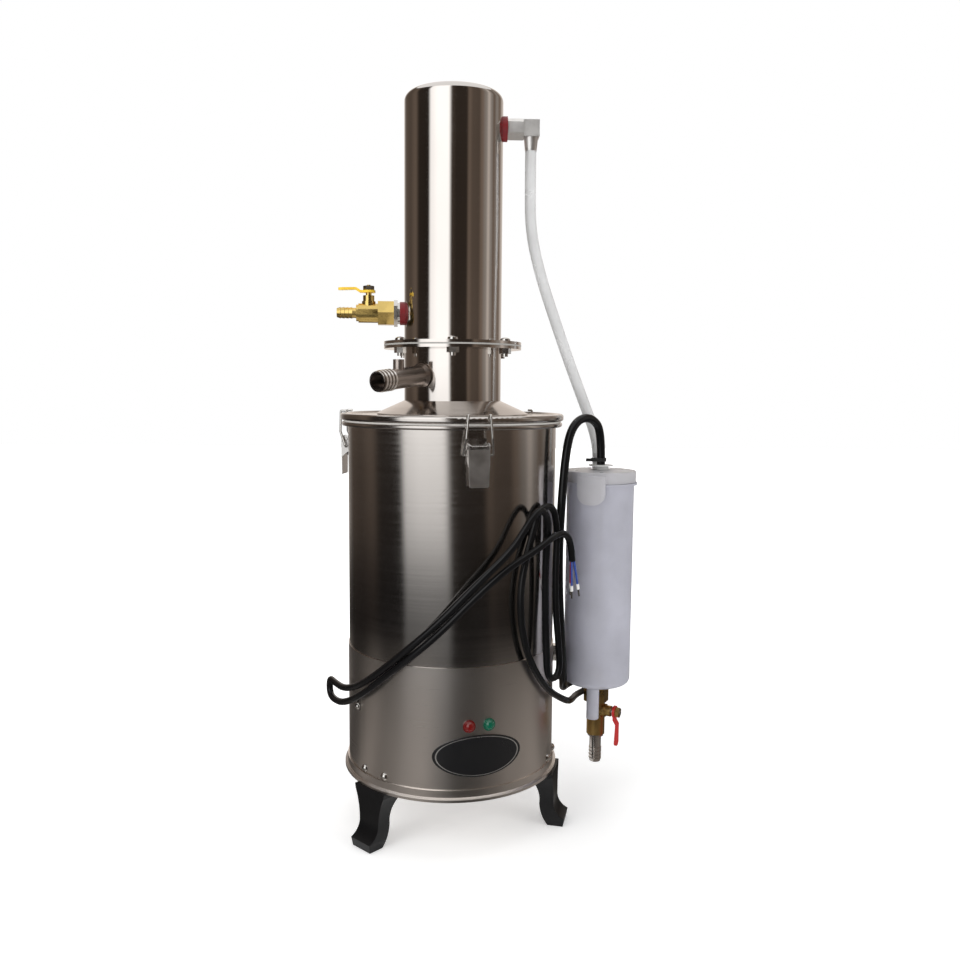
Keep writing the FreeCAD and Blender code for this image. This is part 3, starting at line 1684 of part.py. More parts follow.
def make_latch_pin(azimuth):
    half = S.latch_lever_width / 2.0 + S.seat_gap
    head = S.latch_pin_radius * 1.6
    pin = turned(
        fresh_name("latch_pin"),
        [
            (0.0, -half - 0.8),
            (head, -half - 0.8),
            (head, -half),
            (S.latch_pin_radius, -half),
            (S.latch_pin_radius, half),
            (head, half),
            (head, half + 0.8),
            (0.0, half + 0.8),
        ],
    )
    turn = toward(azimuth)
    base = turn.multVec(FreeCAD.Vector(float(latch_pivot_reach), 0, float(S.latch_pivot_level)))
    placed(pin, FreeCAD.Placement(base, turn * ACROSS))
    return pin


def make_latch_lever(label, azimuth):
    """A channel: a face plate and two side flanges that hold the pin and bar."""
    level = S.latch_pivot_level
    pivot = latch_pivot_reach
    inner_face = pivot + S.latch_lever_face
    face = inner_face + S.latch_plate_thickness
    top = level - S.latch_lever_top
    bottom = top - S.latch_lever_length
    half = S.latch_lever_width / 2.0
    tip = S.latch_lever_tip_width / 2.0
    corner = S.latch_plate_thickness
    front = [
        (-half, top),
        (-half, level - S.latch_lever_side),
        (-tip, bottom + corner),
        (-tip + corner, bottom),
        (tip - corner, bottom),
        (tip, bottom + corner),
        (half, level - S.latch_lever_side),
        (half, top),
    ]
    plate = padded(fresh_name("lever_face"), "YZ_Plane", S.latch_plate_thickness, [front])
    put(plate, (inner_face, 0.0, 0.0))
    radius = S.latch_lever_side_radius
    side_bottom = level - S.latch_lever_side
    outline = [
        (pivot - radius, level),
        (pivot, level + radius, pivot - radius * 0.7071, level + radius * 0.7071),
        (pivot + radius, level, pivot + radius * 0.7071, level + radius * 0.7071),
        (face, top),
        (face, side_bottom - 6.0),
        (inner_face, side_bottom - 6.0),
        (pivot - radius + 0.6, side_bottom),
    ]
    pieces = [plate]
    thickness = S.latch_plate_thickness
    for side in (-1.0, 1.0):
        flange = padded(fresh_name("lever_side"), "XZ_Plane", thickness, [outline], midplane=True)
        pieces.append(put(flange, (0.0, (half - thickness / 2.0) * side, 0.0)))
    solid = joined(fresh_name("lever_solid"), pieces)
    ways = [
        cylinder(S.latch_pin_radius + S.shaft_gap, half * 4.0, (pivot, half * 2.0, level), ACROSS),
        cylinder(
            S.latch_wire_radius + S.shaft_gap * 2.0, half * 4.0, (latch_bar_reach, half * 2.0, latch_bar_level), ACROSS
        ),
    ]
    lever = cut_from(label, solid, ways)
    return keep(put(lever, rotation=toward(azimuth)))


def bent_wire(points, radius, bend):
    """A wire through the points, each corner an arc of the bend radius."""
    edges = []
    start = points[0]
    for before, corner, after in zip(points, points[1:], points[2:]):
        into = (corner - before).normalize()
        away = (after - corner).normalize()
        half_turn = into.getAngle(away) / 2
        reach = bend * math.tan(half_turn)
        first = corner - into * reach
        last = corner + away * reach
        middle_way = (away - into).normalize()
        middle = corner + middle_way * (bend / math.cos(half_turn) - bend)
        edges.append(Part.LineSegment(start, first).toShape())
        edges.append(Part.Arc(first, middle, last).toShape())
        start = last
    edges.append(Part.LineSegment(start, points[-1]).toShape())
    path = Part.Wire(edges)
    direction = (points[1] - points[0]).normalize()
    section = Part.Wire([Part.Circle(points[0], direction, radius).toShape()])
    return path.makePipeShell([section], True, False), path.Length


def make_latch_bail(label, azimuth):
    wire = float(S.latch_wire_radius)
    leg_reach = float(lid_rim_radius) + wire + float(S.latch_wire_clearance)
    hook_level = float(lid_rim_top) + wire + float(S.seat_gap)
    bar = float(latch_bar_reach)
    low = float(latch_bar_level)
    wide = float(S.latch_wire_half_width)
    narrow = float(S.latch_wire_top_half_width)
    knee = float(pot_rim_top) - 12.0
    tip = leg_reach - float(S.latch_hook_inset)
    half = [
        FreeCAD.Vector(tip, narrow, hook_level),
        FreeCAD.Vector(leg_reach, narrow, hook_level),
        FreeCAD.Vector(leg_reach, (wide + narrow) / 2, knee),
        FreeCAD.Vector(bar, wide, low),
    ]
    other = [FreeCAD.Vector(point.x, -point.y, point.z) for point in reversed(half)]
    solid, _ = bent_wire(half + other, wire, wire * 1.4)
    bail = shaped(label, solid)
    return keep(put(bail, rotation=toward(azimuth)))


LATCH_PLACES = ("front", "rear", "left")


def make_latches():
    brackets = []
    pins = []
    for place, azimuth in zip(LATCH_PLACES, latch_azimuths()):
        brackets.append(make_latch_bracket(azimuth))
        pins.append(make_latch_pin(azimuth))
        make_latch_lever(f"latch_lever_{place}", azimuth)
        make_latch_bail(f"latch_bail_{place}", azimuth)
    keep(grouped("latch_brackets", brackets + pins))


# Front panel: lamps and badge plate


def make_lamp(label, azimuth):
    radius = S.lamp_radius
    dome_radius = radius - 0.8
    peak = S.lamp_dome + S.lamp_rim
    lamp = turned(
        label,
        [
            (-S.lamp_shank_length, 0.0),
            (-S.lamp_shank_length, S.lamp_shank_radius),
            (0.0, S.lamp_shank_radius),
            (0.0, radius),
            (S.lamp_rim, radius),
            (S.lamp_rim, dome_radius),
            (peak, 0.0, peak - crown_drop(dome_radius, S.lamp_dome), dome_radius / 2.0),
        ],
        "H_Axis",
    )
    reach = skirt_outer + S.wall_gap
    base = (reach * sine(azimuth), -reach * cosine(azimuth), S.lamp_level)
    return keep(put(lamp, base, toward(azimuth)))


def make_badge_plate():
    inner = skirt_outer + S.wall_gap / 2.0
    outer = inner + S.badge_thickness
    half_width = S.badge_width / 2.0
    half_height = S.badge_height / 2.0
    low = S.badge_level - half_height
    band = turned(
        "badge_band",
        [(inner, low - 1.0), (outer, low - 1.0), (outer, low + S.badge_height + 1.0), (inner, low + S.badge_height + 1.0)],
    )
    oval = document.addObject("Part::Ellipse", fresh_name("oval"))
    bind(oval, "MajorRadius", half_width)
    bind(oval, "MinorRadius", half_height)
    put(oval, (0.0, 0.0, S.badge_level), FreeCAD.Rotation(FreeCAD.Vector(0, 1, 0), FreeCAD.Vector(0, 0, 1), FreeCAD.Vector(1, 0, 0), "XYZ"))
    slab = document.addObject("Part::Extrusion", fresh_name("badge_slab"))
    slab.Base = oval
    slab.DirMode = "Custom"
    slab.Dir = FreeCAD.Vector(1, 0, 0)
    slab.Solid = True
    bind(slab, "LengthFwd", outer * 2.0)
    document.recompute()
    plate = shared("badge_plate", band, slab)
    return keep(put(plate, rotation=toward(S.badge_azimuth)))


# Heater in the pot's floor


def make_heater():
    tail = float(S.heater_tail_level)
    level = float(S.heater_level)
    start = -float(S.heater_offset)
    end = float(S.heater_loop_end)
    half = float(S.heater_half_width)
    points = [
        FreeCAD.Vector(start, -half, tail),
        FreeCAD.Vector(start, -half, level),
        FreeCAD.Vector(end, -half, level),
        FreeCAD.Vector(end, half, level),
        FreeCAD.Vector(start, half, level),
        FreeCAD.Vector(start, half, tail),
    ]
    tube, _ = bent_wire(points, float(S.heater_tube_radius), float(S.heater_bend))
    pieces = [shaped("heater_tube", tube)]
    for side in (-1.0, 1.0):
        for level in (S.pot_floor_level - S.heater_nut_height, S.pot_floor_level + S.pot_floor_thickness):
            nut = hex_nut(S.heater_nut_radius * 2.0, S.heater_nut_height, S.heater_tube_radius + S.shaft_gap)
            pieces.append(put(nut, (-S.heater_offset, S.heater_half_width * side, level)))
    keep(grouped("heater_element", pieces))


# Glands, cords and the hose

ARC_SHARE = 0.45
MAINS_STRAIGHT = 30.0
PROBE_STRAIGHT = 16.8
PROBE_RISE = 35.6
LID_BOSS_RISE = 2.2

# Points beside the drum: an azimuth, a gap from the drum's wall, a level
MAINS_CORD_ROUTE = [
    (122.4, 80.6, 121.5),
    (116.4, 85.4, 122.5),
    (109.9, 75.1, 123.0),
    (104.8, 54.5, 123.0),
    (98.9, 32.7, 122.5),
    (88.3, 23.1, 126.0),
    (77.5, 19.1, 132.0),
    (68.2, 13.9, 142.0),
    (58.5, 8.5, 155.0),
    (47.6, 7.9, 177.0),
    (39.6, 7.5, 204.0),
    (35.7, 7.5, 236.0),
    (35.3, 6.9, 268.0),
    (38.5, 6.3, 297.0),
    (44.3, 5.3, 324.0),
    (49.1, 4.5, 346.0),
    (59.1, 8.8, 349.0),
    (61.9, 11.9, 325.0),
    (60.5, 11.8, 283.0),
    (60.0, 13.0, 240.0),
    (60.0, 17.0, 205.0),
    (60.6, 18.5, 172.0),
    (51.5, 14.5, 171.0),
    (52.2, 11.5, 205.0),
    (52.5, 9.8, 240.0),
    (52.2, 9.0, 281.0),
    (51.9, 11.4, 315.0),
    (50.5, 14.3, 338.0),
    (43.5, 15.6, 350.0),
    (36.0, 16.0, 335.0),
    (27.4, 13.9, 309.0),
    (10.2, 11.4, 277.0),
    (-7.6, 11.6, 238.0),
    (-27.4, 11.7, 201.0),
    (-46.2, 12.0, 170.0),
    (-64.7, 11.7, 154.0),
    (-79.1, 16.8, 152.5),
    (-86.1, 21.8, 152.5),
    (-86.1, 21.8, 135.0),
    (-79.1, 16.8, 133.0),
    (-65.4, 12.6, 139.0),
    (-48.0, 11.8, 157.0),
    (-28.8, 11.5, 189.0),
    (-8.0, 11.7, 226.0),
    (10.0, 11.3, 265.0),
    (26.4, 13.9, 294.0),
    (41.2, 17.6, 309.0),
    (51.1, 19.8, 320.0),
    (59.6, 22.2, 322.0),
    (64.4, 25.3, 308.0),
    (66.0, 25.2, 290.0),
]

PROBE_CABLE_ROUTE = [
    (86.1, 38.9, 435.0),
    (79.6, 24.6, 435.0),
    (74.1, 15.8, 419.8),
    (70.8, 12.9, 390.0),
    (68.9, 11.1, 350.0),
    (68.4, 9.4, 305.0),
    (68.7, 9.7, 262.0),
    (69.8, 11.5, 222.0),
    (71.7, 12.7, 188.0),
    (76.4, 13.0, 160.0),
    (84.4, 12.6, 143.0),
    (93.7, 14.8, 136.5),
    (99.4, 24.8, 136.5),
    (103.0, 40.9, 138.0),
    (107.3, 58.6, 142.0),
    (113.3, 71.3, 145.0),
    (118.2, 68.8, 147.0),
    (122.4, 59.9, 147.5),
]

# Points of the hose: a share of the way from the elbow out to the cup, a side step, a level
HOSE_ROUTE = [
    (0.000, 0.0, 676.0),
    (0.011, 2.0, 630.0),
    (0.151, 5.0, 585.0),
    (0.351, 8.5, 540.0),
    (0.569, 12.0, 493.0),
    (0.788, 17.0, 450.0),
    (0.938, 21.0, 421.0),
    (1.000, 23.0, 400.0),
]


def cord_gland_places():
    return [
        (S.cord_gland_azimuth, S.mains_gland_level),
        (S.cord_gland_azimuth, S.probe_gland_level),
    ]


def gland_tip(level, ahead=0.0):
    """A point on a cord gland's axis: its tip, or a distance ahead of it."""
    reach = float(skirt_outer + S.wall_gap + S.cord_gland_length) + ahead
    turn = toward(S.cord_gland_azimuth)
    return turn.multVec(FreeCAD.Vector(reach, 0, 0)) + FreeCAD.Vector(0, 0, float(level))


def beside_drum(azimuth, gap, level):
    return toward(azimuth).multVec(FreeCAD.Vector(float(S.drum_radius) + gap, 0, level))


def make_cord_glands():
    glands = []
    for (azimuth, level), cord_radius in zip(cord_gland_places(), (S.mains_cord_radius, S.probe_cable_radius)):
        gland = turned(
            fresh_name("cord_gland"),
            [
                (-S.cord_gland_shank_length, 0.0),
                (-S.cord_gland_shank_length, S.cord_gland_shank_radius),
                (0.0, S.cord_gland_shank_radius),
                (0.0, S.cord_gland_flange_radius),
                (S.cord_gland_flange_length, S.cord_gland_flange_radius),
                (S.cord_gland_flange_length, S.cord_gland_flange_radius - 1.5),
                (S.cord_gland_length, cord_radius + 1.0),
                (S.cord_gland_length, 0.0),
            ],
            "H_Axis",
        )
        reach = skirt_outer + S.wall_gap
        base = (reach * sine(azimuth), -reach * cosine(azimuth), level)
        glands.append(put(gland, base, toward(azimuth)))
    keep(grouped("cord_glands", glands))


def cord_tube(label, points, radius, bore=None):
    """A round cord: straight runs, each corner as large an arc as the runs allow."""
    edges = []
    radii = []
    start = points[0]
    for before, corner, after in zip(points, points[1:], points[2:]):
        into = (corner - before).normalize()
        away = (after - corner).normalize()
        reach = ARC_SHARE * min(corner.distanceToPoint(before), corner.distanceToPoint(after))
        half_turn = into.getAngle(away) / 2
        bend = reach / math.tan(half_turn)
        radii.append(bend)
        first = corner - into * reach
        last = corner + away * reach
        middle = corner + (away - into).normalize() * (bend / math.cos(half_turn) - bend)
        edges.append(Part.LineSegment(start, first).toShape())
        edges.append(Part.Arc(first, middle, last).toShape())
        start = last
    edges.append(Part.LineSegment(start, points[-1]).toShape())
    path = Part.Wire(edges)
    direction = (points[1] - points[0]).normalize()
    tube = path.makePipeShell([Part.Wire([Part.Circle(points[0], direction, float(radius)).toShape()])], True, False)
    area = math.pi * float(radius) ** 2
    if bore is not None:
        inside = Part.Wire([Part.Circle(points[0], direction, float(bore)).toShape()])
        tube = tube.cut(path.makePipeShell([inside], True, False))
        area -= math.pi * float(bore) ** 2
    print(
        f"{label}: length {path.Length:.0f}, tightest arc {min(radii):.1f}, "
        f"volume over section times length {tube.Volume / (area * path.Length):.4f}"
    )
    print("  radii " + " ".join(f"{value:.0f}" for value in radii))
    return keep(shaped(label, tube))


def make_cords():
    mains_start = gland_tip(S.mains_gland_level)
    mains_ahead = gland_tip(S.mains_gland_level, MAINS_STRAIGHT)
    mains_route = [beside_drum(*point) for point in MAINS_CORD_ROUTE]
    cord_tube("mains_cord", [mains_start, mains_ahead] + mains_route, S.mains_cord_radius)
    probe_end = gland_tip(S.probe_gland_level)
    gland_top = FreeCAD.Vector(float(cup_offset), 0, float(S.cup_lid_top_level + S.gland_height))
    probe_up = gland_top + FreeCAD.Vector(0, 0, PROBE_RISE)
    probe_ahead = gland_tip(S.probe_gland_level, PROBE_STRAIGHT)
    probe_route = [beside_drum(*point) for point in PROBE_CABLE_ROUTE]
    probe_points = [gland_top, probe_up] + probe_route + [probe_ahead, probe_end]
    cord_tube("probe_cable", probe_points, S.probe_cable_radius)
    elbow_end = float(S.outlet_level - S.outlet_elbow_side / 2.0 - S.outlet_tail_length)
    hose_start = FreeCAD.Vector(float(S.outlet_elbow_reach), 0, elbow_end)
    boss_top = float(S.cup_lid_top_level) + LID_BOSS_RISE
    hose_end = FreeCAD.Vector(float(cup_offset), float(S.lid_nozzle_offset), boss_top)
    elbow_reach = float(S.outlet_elbow_reach)
    across = float(cup_offset) - elbow_reach
    hose_route = [FreeCAD.Vector(elbow_reach + across * share, side, level) for share, side, level in HOSE_ROUTE]
    cord_tube("transfer_hose", [hose_start] + hose_route + [hose_end], S.hose_radius, S.hose_bore)


def make_cord_tie():
    inner = S.probe_cable_radius + S.wall_gap / 2.0
    outer = inner + S.cord_tie_thickness
    level = S.cord_tie_level
    band = turned(
        "tie_band",
        [
            (inner, level),
            (outer, level),
            (outer, level + S.cord_tie_width),
            (inner, level + S.cord_tie_width),
        ],
    )
    head = block(
        (S.cord_tie_head, S.cord_tie_head, S.cord_tie_width),
        (-outer - S.cord_tie_head + 0.4, -S.cord_tie_head / 2.0, level),
    )
    tail = block(
        (S.cord_tie_tail, S.cord_tie_thickness, S.cord_tie_width - 0.6),
        (-outer - S.cord_tie_head - S.cord_tie_tail + 0.8, -outer, level + 0.3),
    )
    bridge = block(
        (outer + S.cord_tie_head, S.cord_tie_thickness, S.cord_tie_width - 0.6),
        (-outer - S.cord_tie_head + 0.4, -outer, level + 0.3),
    )
    core = cylinder(inner, S.cord_tie_width * 3.0, (0.0, 0.0, level - S.cord_tie_width))
    solid = joined("tie_solid", [band, head, tail, bridge])
    return keep(put(cut_from("cord_tie", solid, [core]), (cup_offset, 0.0, 0.0)))


def make_cord_clip():
    """A small steel hook on the skirt that the doubled cord rests in."""
    width = S.cord_clip_width
    thickness = S.cord_clip_thickness
    inner = skirt_outer + S.wall_gap
    low = S.cord_clip_level - width / 2.0
    plate = block((thickness, width, width + 5.0), (inner, -width / 2.0, low))
    washer = cylinder(S.leg_screw_radius + S.wall_gap, thickness * 4.0, (inner - thickness, 0.0, S.cord_clip_level), RADIAL)
    holder = cut_from("clip_plate", plate, [washer])
    head = screw(S.leg_screw_radius, S.leg_screw_head_radius - 0.8, S.leg_screw_head_height, S.leg_screw_length / 2.0)
    put(head, (inner + thickness, 0.0, S.cord_clip_level))
    clip = grouped("cord_clip", [holder, head])
    return keep(put(clip, rotation=toward(S.cord_clip_azimuth)))


def make_wire_ends():
    """The mains cord's three cores, each in its sheath and with a ferrule."""
    sheath_end = beside_drum(*MAINS_CORD_ROUTE[-1])
    direction = (sheath_end - beside_drum(*MAINS_CORD_ROUTE[-2])).normalize()
    pieces = []
    across = direction.cross(FreeCAD.Vector(0, 1, 0)).normalize()
    beside = direction.cross(across).normalize()
    circle = float(S.mains_cord_radius) - float(S.wire_radius) - 0.5
    for index in range(3):
        angle = math.radians(index * FULL_TURN / 3)
        offset = across * math.cos(angle) + beside * math.sin(angle)
        start = sheath_end + offset * circle
        run = (direction * 6.0 + offset * 0.6).normalize()
        wire = Part.makeCylinder(float(S.wire_radius), float(S.wire_length), start, run)
        tip = start + run * float(S.wire_length)
        collar = Part.makeCylinder(float(S.ferrule_collar_radius), float(S.ferrule_collar_length), tip, run)
        end = tip + run * float(S.ferrule_collar_length)
        ferrule = Part.makeCylinder(float(S.ferrule_radius), float(S.ferrule_length), end, run)
        pieces.append(wire)
        pieces.append(collar.fuse(ferrule).removeSplitter())
    return keep(shaped("mains_wire_ends", Part.makeCompound(pieces)))


def make_everything():
    make_boiler_pot()
    make_base_skirt()
    make_base_hoop()
    make_base_cover()
    for place, azimuth in zip(("front", "right", "rear"), leg_azimuths()):
        make_leg(f"leg_{place}", azimuth)
    make_leg_screws()
    make_lid_seal()
    make_boiler_lid()
    make_neck_tube()
    make_flange_gasket()
    make_condenser_flange()
    make_flange_bolts()
    make_flange_nuts()
    make_condenser_shell()
    make_steam_tubes()
    make_collecting_gutter()
    make_distillate_pipe()
    make_inlet()
    make_outlet()
    make_cup_body()
    make_cup_lid()
    make_probe_gland()
    make_probe_stem()
    make_level_float()
    make_feed_nipple()
    make_drain()
    make_latches()
    make_lamp("red_lamp", S.red_lamp_azimuth)
    make_lamp("green_lamp", S.green_lamp_azimuth)
    make_badge_plate()
    make_heater()
    make_cord_glands()
    make_cords()
    make_cord_tie()
    make_cord_clip()
    make_wire_ends()


def write_nodes():
    document.recompute()
    broken = [
        f"{item.Label} ({item.getStatusString()})"
        for item in document.Objects
        if "Invalid" in item.State or "Error" in item.State
    ]
    for item in nodes:
        if item.Shape.isNull() or not item.Shape.isValid():
            broken.append(item.Label)
    if broken:
        raise RuntimeError("these objects failed: " + ", ".join(broken))
    os.makedirs("parts", exist_ok=True)
    for item in nodes:
        item.Shape.exportStep(os.path.join("parts", item.Label + ".step"))
    print(f"{len(nodes)} nodes")


make_everything()
write_nodes()
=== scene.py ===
import math

import bmesh
import bpy
from mathutils import Matrix, Vector


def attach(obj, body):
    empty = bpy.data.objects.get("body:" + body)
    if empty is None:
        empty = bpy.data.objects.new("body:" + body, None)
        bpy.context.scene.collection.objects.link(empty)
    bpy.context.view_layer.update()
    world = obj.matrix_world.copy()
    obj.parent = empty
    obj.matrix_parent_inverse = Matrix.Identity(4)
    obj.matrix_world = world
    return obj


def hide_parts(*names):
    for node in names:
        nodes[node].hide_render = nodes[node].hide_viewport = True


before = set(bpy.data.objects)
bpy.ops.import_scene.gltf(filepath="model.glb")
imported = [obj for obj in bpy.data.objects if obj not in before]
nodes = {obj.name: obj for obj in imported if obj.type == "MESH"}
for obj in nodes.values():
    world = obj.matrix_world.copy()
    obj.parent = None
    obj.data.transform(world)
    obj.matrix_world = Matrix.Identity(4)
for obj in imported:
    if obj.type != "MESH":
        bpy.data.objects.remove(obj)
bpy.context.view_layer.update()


# Camera, at the photograph's viewing angle

CAMERA_DISTANCE = 0.97157
CAMERA_HEIGHT = 0.46682
CAMERA_PITCH = 0.10205
CAMERA_YAW = 0.0308
CAMERA_ROLL = 0.0079
CAMERA_LENS = 34.11
SENSOR_WIDTH = 36.0
NEAREST_SEEN = 0.01


def make_camera():
    data = bpy.data.cameras.new("view_camera")
    data.lens = CAMERA_LENS
    data.sensor_width = SENSOR_WIDTH
    data.clip_start = NEAREST_SEEN
    camera = bpy.data.objects.new("view_camera", data)
    turn = Matrix.Rotation(-CAMERA_YAW, 3, "Z")
    tilt = Matrix.Rotation(math.pi / 2 - CAMERA_PITCH, 3, "X")
    roll = Matrix.Rotation(CAMERA_ROLL, 3, "Z")
    place = (turn @ tilt @ roll).to_4x4()
    place.translation = (0.0, -CAMERA_DISTANCE, CAMERA_HEIGHT)
    bpy.context.scene.collection.objects.link(camera)
    camera.matrix_world = place
    bpy.context.scene.camera = camera


make_camera()


# Cords: the same route points as the solids, in metres

MAINS_CORD_ROUTE = [
    (0.1143, 0.0800, 0.1210),
    (0.1389, 0.0972, 0.1210),
    (0.1610, 0.1020, 0.1215),
    (0.1750, 0.0870, 0.1225),
    (0.1740, 0.0630, 0.1230),
    (0.1590, 0.0420, 0.1230),
    (0.1410, 0.0220, 0.1225),
    (0.1330, -0.0040, 0.1260),
    (0.1260, -0.0280, 0.1320),
    (0.1150, -0.0460, 0.1420),
    (0.1010, -0.0620, 0.1550),
    (0.0870, -0.0795, 0.1770),
    (0.0750, -0.0905, 0.2040),
    (0.0685, -0.0955, 0.2360),
    (0.0675, -0.0955, 0.2680),
    (0.0725, -0.0910, 0.2970),
    (0.0805, -0.0825, 0.3240),
    (0.0865, -0.0750, 0.3460),
    (0.1020, -0.0610, 0.3490),
    (0.1075, -0.0575, 0.3250),
    (0.1060, -0.0600, 0.2830),
    (0.1065, -0.0615, 0.2400),
    (0.1100, -0.0635, 0.2050),
    (0.1120, -0.0630, 0.1720),
    (0.0975, -0.0775, 0.1710),
    (0.0960, -0.0745, 0.2050),
    (0.0950, -0.0730, 0.2400),
    (0.0940, -0.0730, 0.2810),
    (0.0955, -0.0750, 0.3150),
    (0.0960, -0.0790, 0.3380),
    (0.0865, -0.0910, 0.3500),
    (0.0740, -0.1020, 0.3350),
    (0.0570, -0.1100, 0.3090),
    (0.0215, -0.1195, 0.2770),
    (-0.0160, -0.1205, 0.2380),
    (-0.0560, -0.1080, 0.2010),
    (-0.0880, -0.0845, 0.1700),
    (-0.1100, -0.0520, 0.1540),
    (-0.1245, -0.0240, 0.1525),
    (-0.1315, -0.0090, 0.1525),
    (-0.1315, -0.0090, 0.1350),
    (-0.1245, -0.0240, 0.1330),
    (-0.1115, -0.0510, 0.1390),
    (-0.0905, -0.0815, 0.1570),
    (-0.0585, -0.1065, 0.1890),
    (-0.0170, -0.1205, 0.2260),
    (0.0210, -0.1195, 0.2650),
    (0.0550, -0.1110, 0.2940),
    (0.0840, -0.0960, 0.3090),
    (0.1010, -0.0815, 0.3200),
    (0.1140, -0.0670, 0.3220),
    (0.1220, -0.0585, 0.3080),
    (0.1235, -0.0550, 0.2900),
]

PROBE_CABLE_ROUTE = [
    (0.1600, 0.0000, 0.3846),
    (0.1600, 0.0000, 0.4202),
    (0.1486, -0.0101, 0.4350),
    (0.1324, -0.0243, 0.4350),
    (0.1210, -0.0344, 0.4198),
    (0.1160, -0.0405, 0.3900),
    (0.1130, -0.0435, 0.3500),
    (0.1110, -0.0440, 0.3050),
    (0.1115, -0.0435, 0.2620),
    (0.1140, -0.0420, 0.2220),
    (0.1165, -0.0385, 0.1880),
    (0.1195, -0.0290, 0.1600),
    (0.1220, -0.0120, 0.1430),
    (0.1245, 0.0080, 0.1365),
    (0.1330, 0.0220, 0.1365),
    (0.1470, 0.0340, 0.1380),
    (0.1610, 0.0500, 0.1420),
    (0.1665, 0.0717, 0.1450),
    (0.1576, 0.0844, 0.1470),
    (0.1435, 0.0910, 0.1475),
    (0.1281, 0.0897, 0.1470),
    (0.1143, 0.0800, 0.1470),
]

HOSE_ROUTE = [
    (0.0799, 0.0000, 0.7101),
    (0.0799, 0.0000, 0.6760),
    (0.0808, 0.0020, 0.6300),
    (0.0920, 0.0050, 0.5850),
    (0.1080, 0.0085, 0.5400),
    (0.1255, 0.0120, 0.4930),
    (0.1430, 0.0170, 0.4500),
    (0.1550, 0.0210, 0.4210),
    (0.1600, 0.0230, 0.4000),
    (0.1600, 0.0230, 0.3818),
]

MAINS_CORD_RADIUS = 0.0035
PROBE_CABLE_RADIUS = 0.0045
HOSE_RADIUS = 0.00575
CORD_SIDES = 5
CORD_CURVE_ORDER = 3
CORD_CURVE_STEPS = 6


def make_cord(name, points, radius, node):
    curve = bpy.data.curves.new(name, "CURVE")
    curve.dimensions = "3D"
    curve.bevel_depth = radius
    curve.bevel_resolution = CORD_SIDES
    curve.use_fill_caps = True
    spline = curve.splines.new("NURBS")
    spline.points.add(len(points) - 1)
    for point, place in zip(spline.points, points):
        point.co = (*place, 1.0)
    spline.order_u = CORD_CURVE_ORDER
    spline.use_endpoint_u = True
    spline.resolution_u = CORD_CURVE_STEPS
    cord = bpy.data.objects.new(name, curve)
    bpy.context.scene.collection.objects.link(cord)
    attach(cord, "stand")
    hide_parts(node)
    return cord


mains_cord = make_cord("mains_lead", MAINS_CORD_ROUTE, MAINS_CORD_RADIUS, "mains_cord")
probe_cable = make_cord("probe_lead", PROBE_CABLE_ROUTE, PROBE_CABLE_RADIUS, "probe_cable")
hose = make_cord("overflow_hose", HOSE_ROUTE, HOSE_RADIUS, "transfer_hose")


# Material helpers

# Where in a noise a spread between two values starts and ends
SPREAD_START = 0.3
SPREAD_END = 0.7
WHITE = (1.0, 1.0, 1.0)


